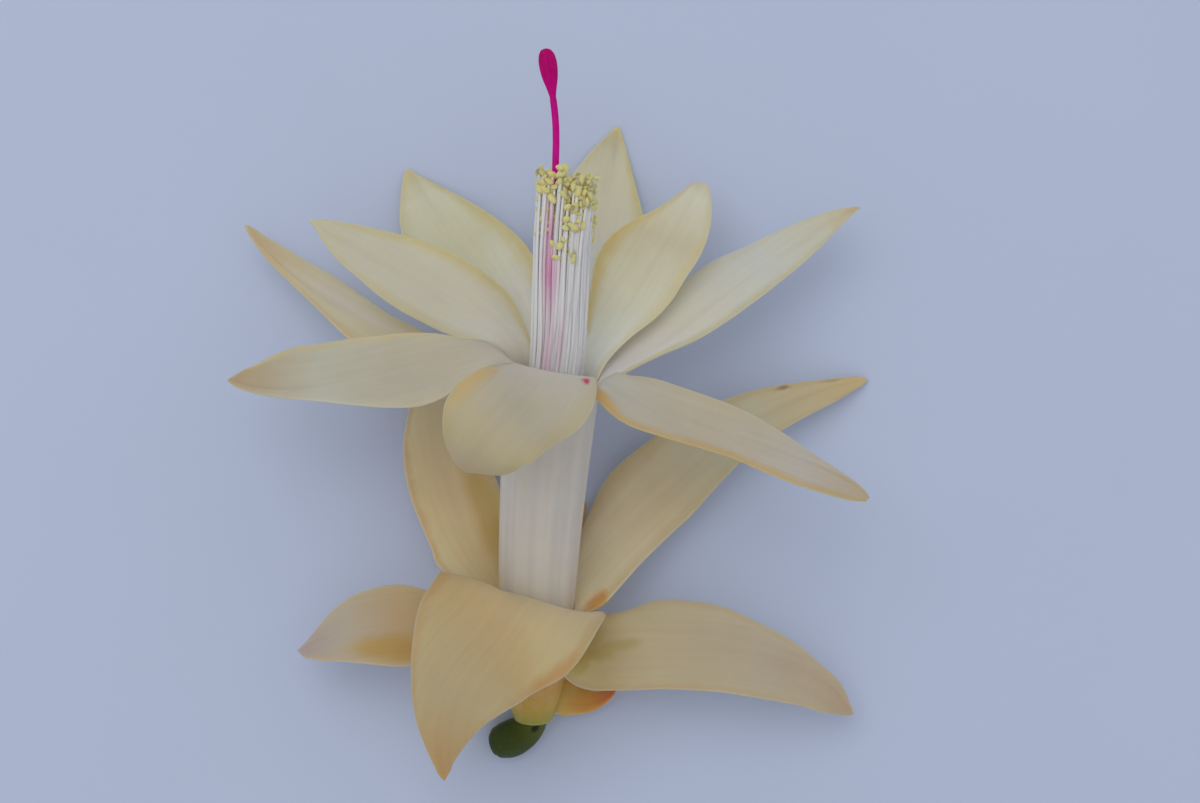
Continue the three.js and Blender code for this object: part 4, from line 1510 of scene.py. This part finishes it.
# What the scatter of the stamens keeps to.
BEFORE_MOUTH = 2.0  # how far inside the mouth a filament's close rows start
BUNCH_FILL = 0.95  # how far across the bunch the outermost filaments stand
CORE = 0.4  # share of the bunch's radius within which filaments make room for the style
SWAYS = (0.02, 0.1)  # how far the straightest and the most bent filament sways
SWAY_RATE = 0.35  # radians of its sway that a millimetre of filament takes
SWAY_UP = 0.5  # share of the sway that goes upwards as well as across
BLUSH_RISE = (-0.3, 0.6)  # heights above the style from which the blush starts and is full
THREAD_LENGTH = 40.0  # to which a filament's rows of cells are measured
ANTHER_KEEPS = (0.2, 1.0)  # least and most of the filament's way that an anther's way takes up
ANTHER_SCATTER = 0.7  # spread of the random way that is added to it
ANTHER_SIZES = (0.8, 1.15)  # the smallest and the largest, as multiples of the common size
ANTHER_POWER = 0.7  # of the sine along an anther, lower for blunter ends
ANTHER_PINCH = 0.28  # depth of the groove between an anther's lobes, as a share of its radius


@dataclass(frozen=True)
class Studio:
    """The plain pale floor, the soft light and the camera straight above the flower."""

    camera_place: Point = (4.67, 1.41, 300.0)
    lens: float = 86.37  # focal length, which gives the picture's scale
    sensor: float = 36.0  # its width
    sight: tuple[float, float] = (0.01, 20.0)  # nearest and farthest that it sees, in metres
    floor_size: float = 4000.0  # side of the floor
    floor_colour: str = "d2dcf4"
    floor_roughness: float = 0.9
    floor_gloss: float = 0.1  # specular level
    tooth: tuple[float, float] = (40.0, 3.0)  # scale and detail of the noise on the floor
    tooth_shade: float = 0.985  # the least light that it leaves, as a share
    sky_colour: str = "f4f8ff"  # of the even light from all round
    sky_strength: float = 0.54  # its strength
    lamp_place: Point = (-140.0, 230.0, 560.0)  # middle of the lamp
    lamp_size: float = 420.0  # its side
    lamp_power: float = 0.66  # in watts

    def build(self) -> None:
        """Makes the floor, the light and the camera."""
        self.build_floor()
        self.build_light()
        self.build_camera()

    def build_floor(self) -> None:
        """Makes the floor, one level square at z = 0, of matt board with a faint tooth."""
        half = self.floor_size / 2 * MILLIMETRE
        corners = [(-half, -half, 0), (half, -half, 0), (half, half, 0), (-half, half, 0)]
        mesh = bpy.data.meshes.new("floor")
        mesh.from_pydata(corners, [], [(0, 1, 2, 3)])
        material = empty_material("floor, matt pale board")
        tree = material.node_tree
        tooth = noise(tree, add(tree, "TexCoord").outputs["Object"], *self.tooth)
        shade = mapped(tree, tooth, *NOISE_SPAN, self.tooth_shade, 1.0)
        colour = vector(tree, "MULTIPLY", linear(self.floor_colour)[:3], shade)
        inputs = {
            "Base Color": colour,
            "Roughness": self.floor_roughness,
            "Specular IOR Level": self.floor_gloss,
        }
        shader = add(tree, "BsdfPrincipled", None, inputs)
        add(tree, "OutputMaterial", None, {"Surface": shader.outputs[0]})
        mesh.materials.append(material)
        placed("floor", mesh)

    def build_light(self) -> None:
        """Makes the even light of the world and one large lamp that aims at the flower."""
        world = bpy.data.worlds.new("daylight")
        world.use_nodes = True
        tree = world.node_tree
        tree.nodes.clear()
        sky = {"Color": linear(self.sky_colour), "Strength": self.sky_strength}
        background = add(tree, "Background", None, sky)
        add(tree, "OutputWorld", None, {"Surface": background.outputs[0]})
        bpy.context.scene.world = world
        data = bpy.data.lights.new("window", "AREA")
        data.shape = "SQUARE"
        data.size = self.lamp_size * MILLIMETRE
        data.energy = self.lamp_power
        lamp = placed("window", data)
        lamp.location = np.array(self.lamp_place) * MILLIMETRE
        x, y, z = unit(-np.array(self.lamp_place))
        lamp.rotation_euler = (np.arccos(-z), 0.0, np.arctan2(-x, y))

    def build_camera(self) -> None:
        """Makes the camera, which looks straight down with the way the flower opens at the top."""
        data = bpy.data.cameras.new("camera")
        data.sensor_width = self.sensor
        data.lens = self.lens
        data.clip_start, data.clip_end = self.sight
        camera = placed("camera", data)
        camera.location = np.array(self.camera_place) * MILLIMETRE
        bpy.context.scene.camera = camera
        bpy.context.scene.view_settings.view_transform = "Standard"


def main() -> None:
    """Builds the flower's pieces in order, then the studio."""
    logging.basicConfig(level=logging.INFO, format="%(name)s: %(message)s")
    LOG.info("%d solids to dress", len(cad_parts))
    tube = FloralTube()
    style = Style()
    Ovary().build(tube)
    tube.build()
    style.build(tube)
    Stamens().build(tube, style)
    for slot, tepals in ((Slot.OUTER, OUTER_TEPALS), (Slot.INNER, INNER_TEPALS)):
        for tepal in tepals:
            tepal.build(tube, slot)
    Studio().build()


if __name__ == "__main__":
    main()
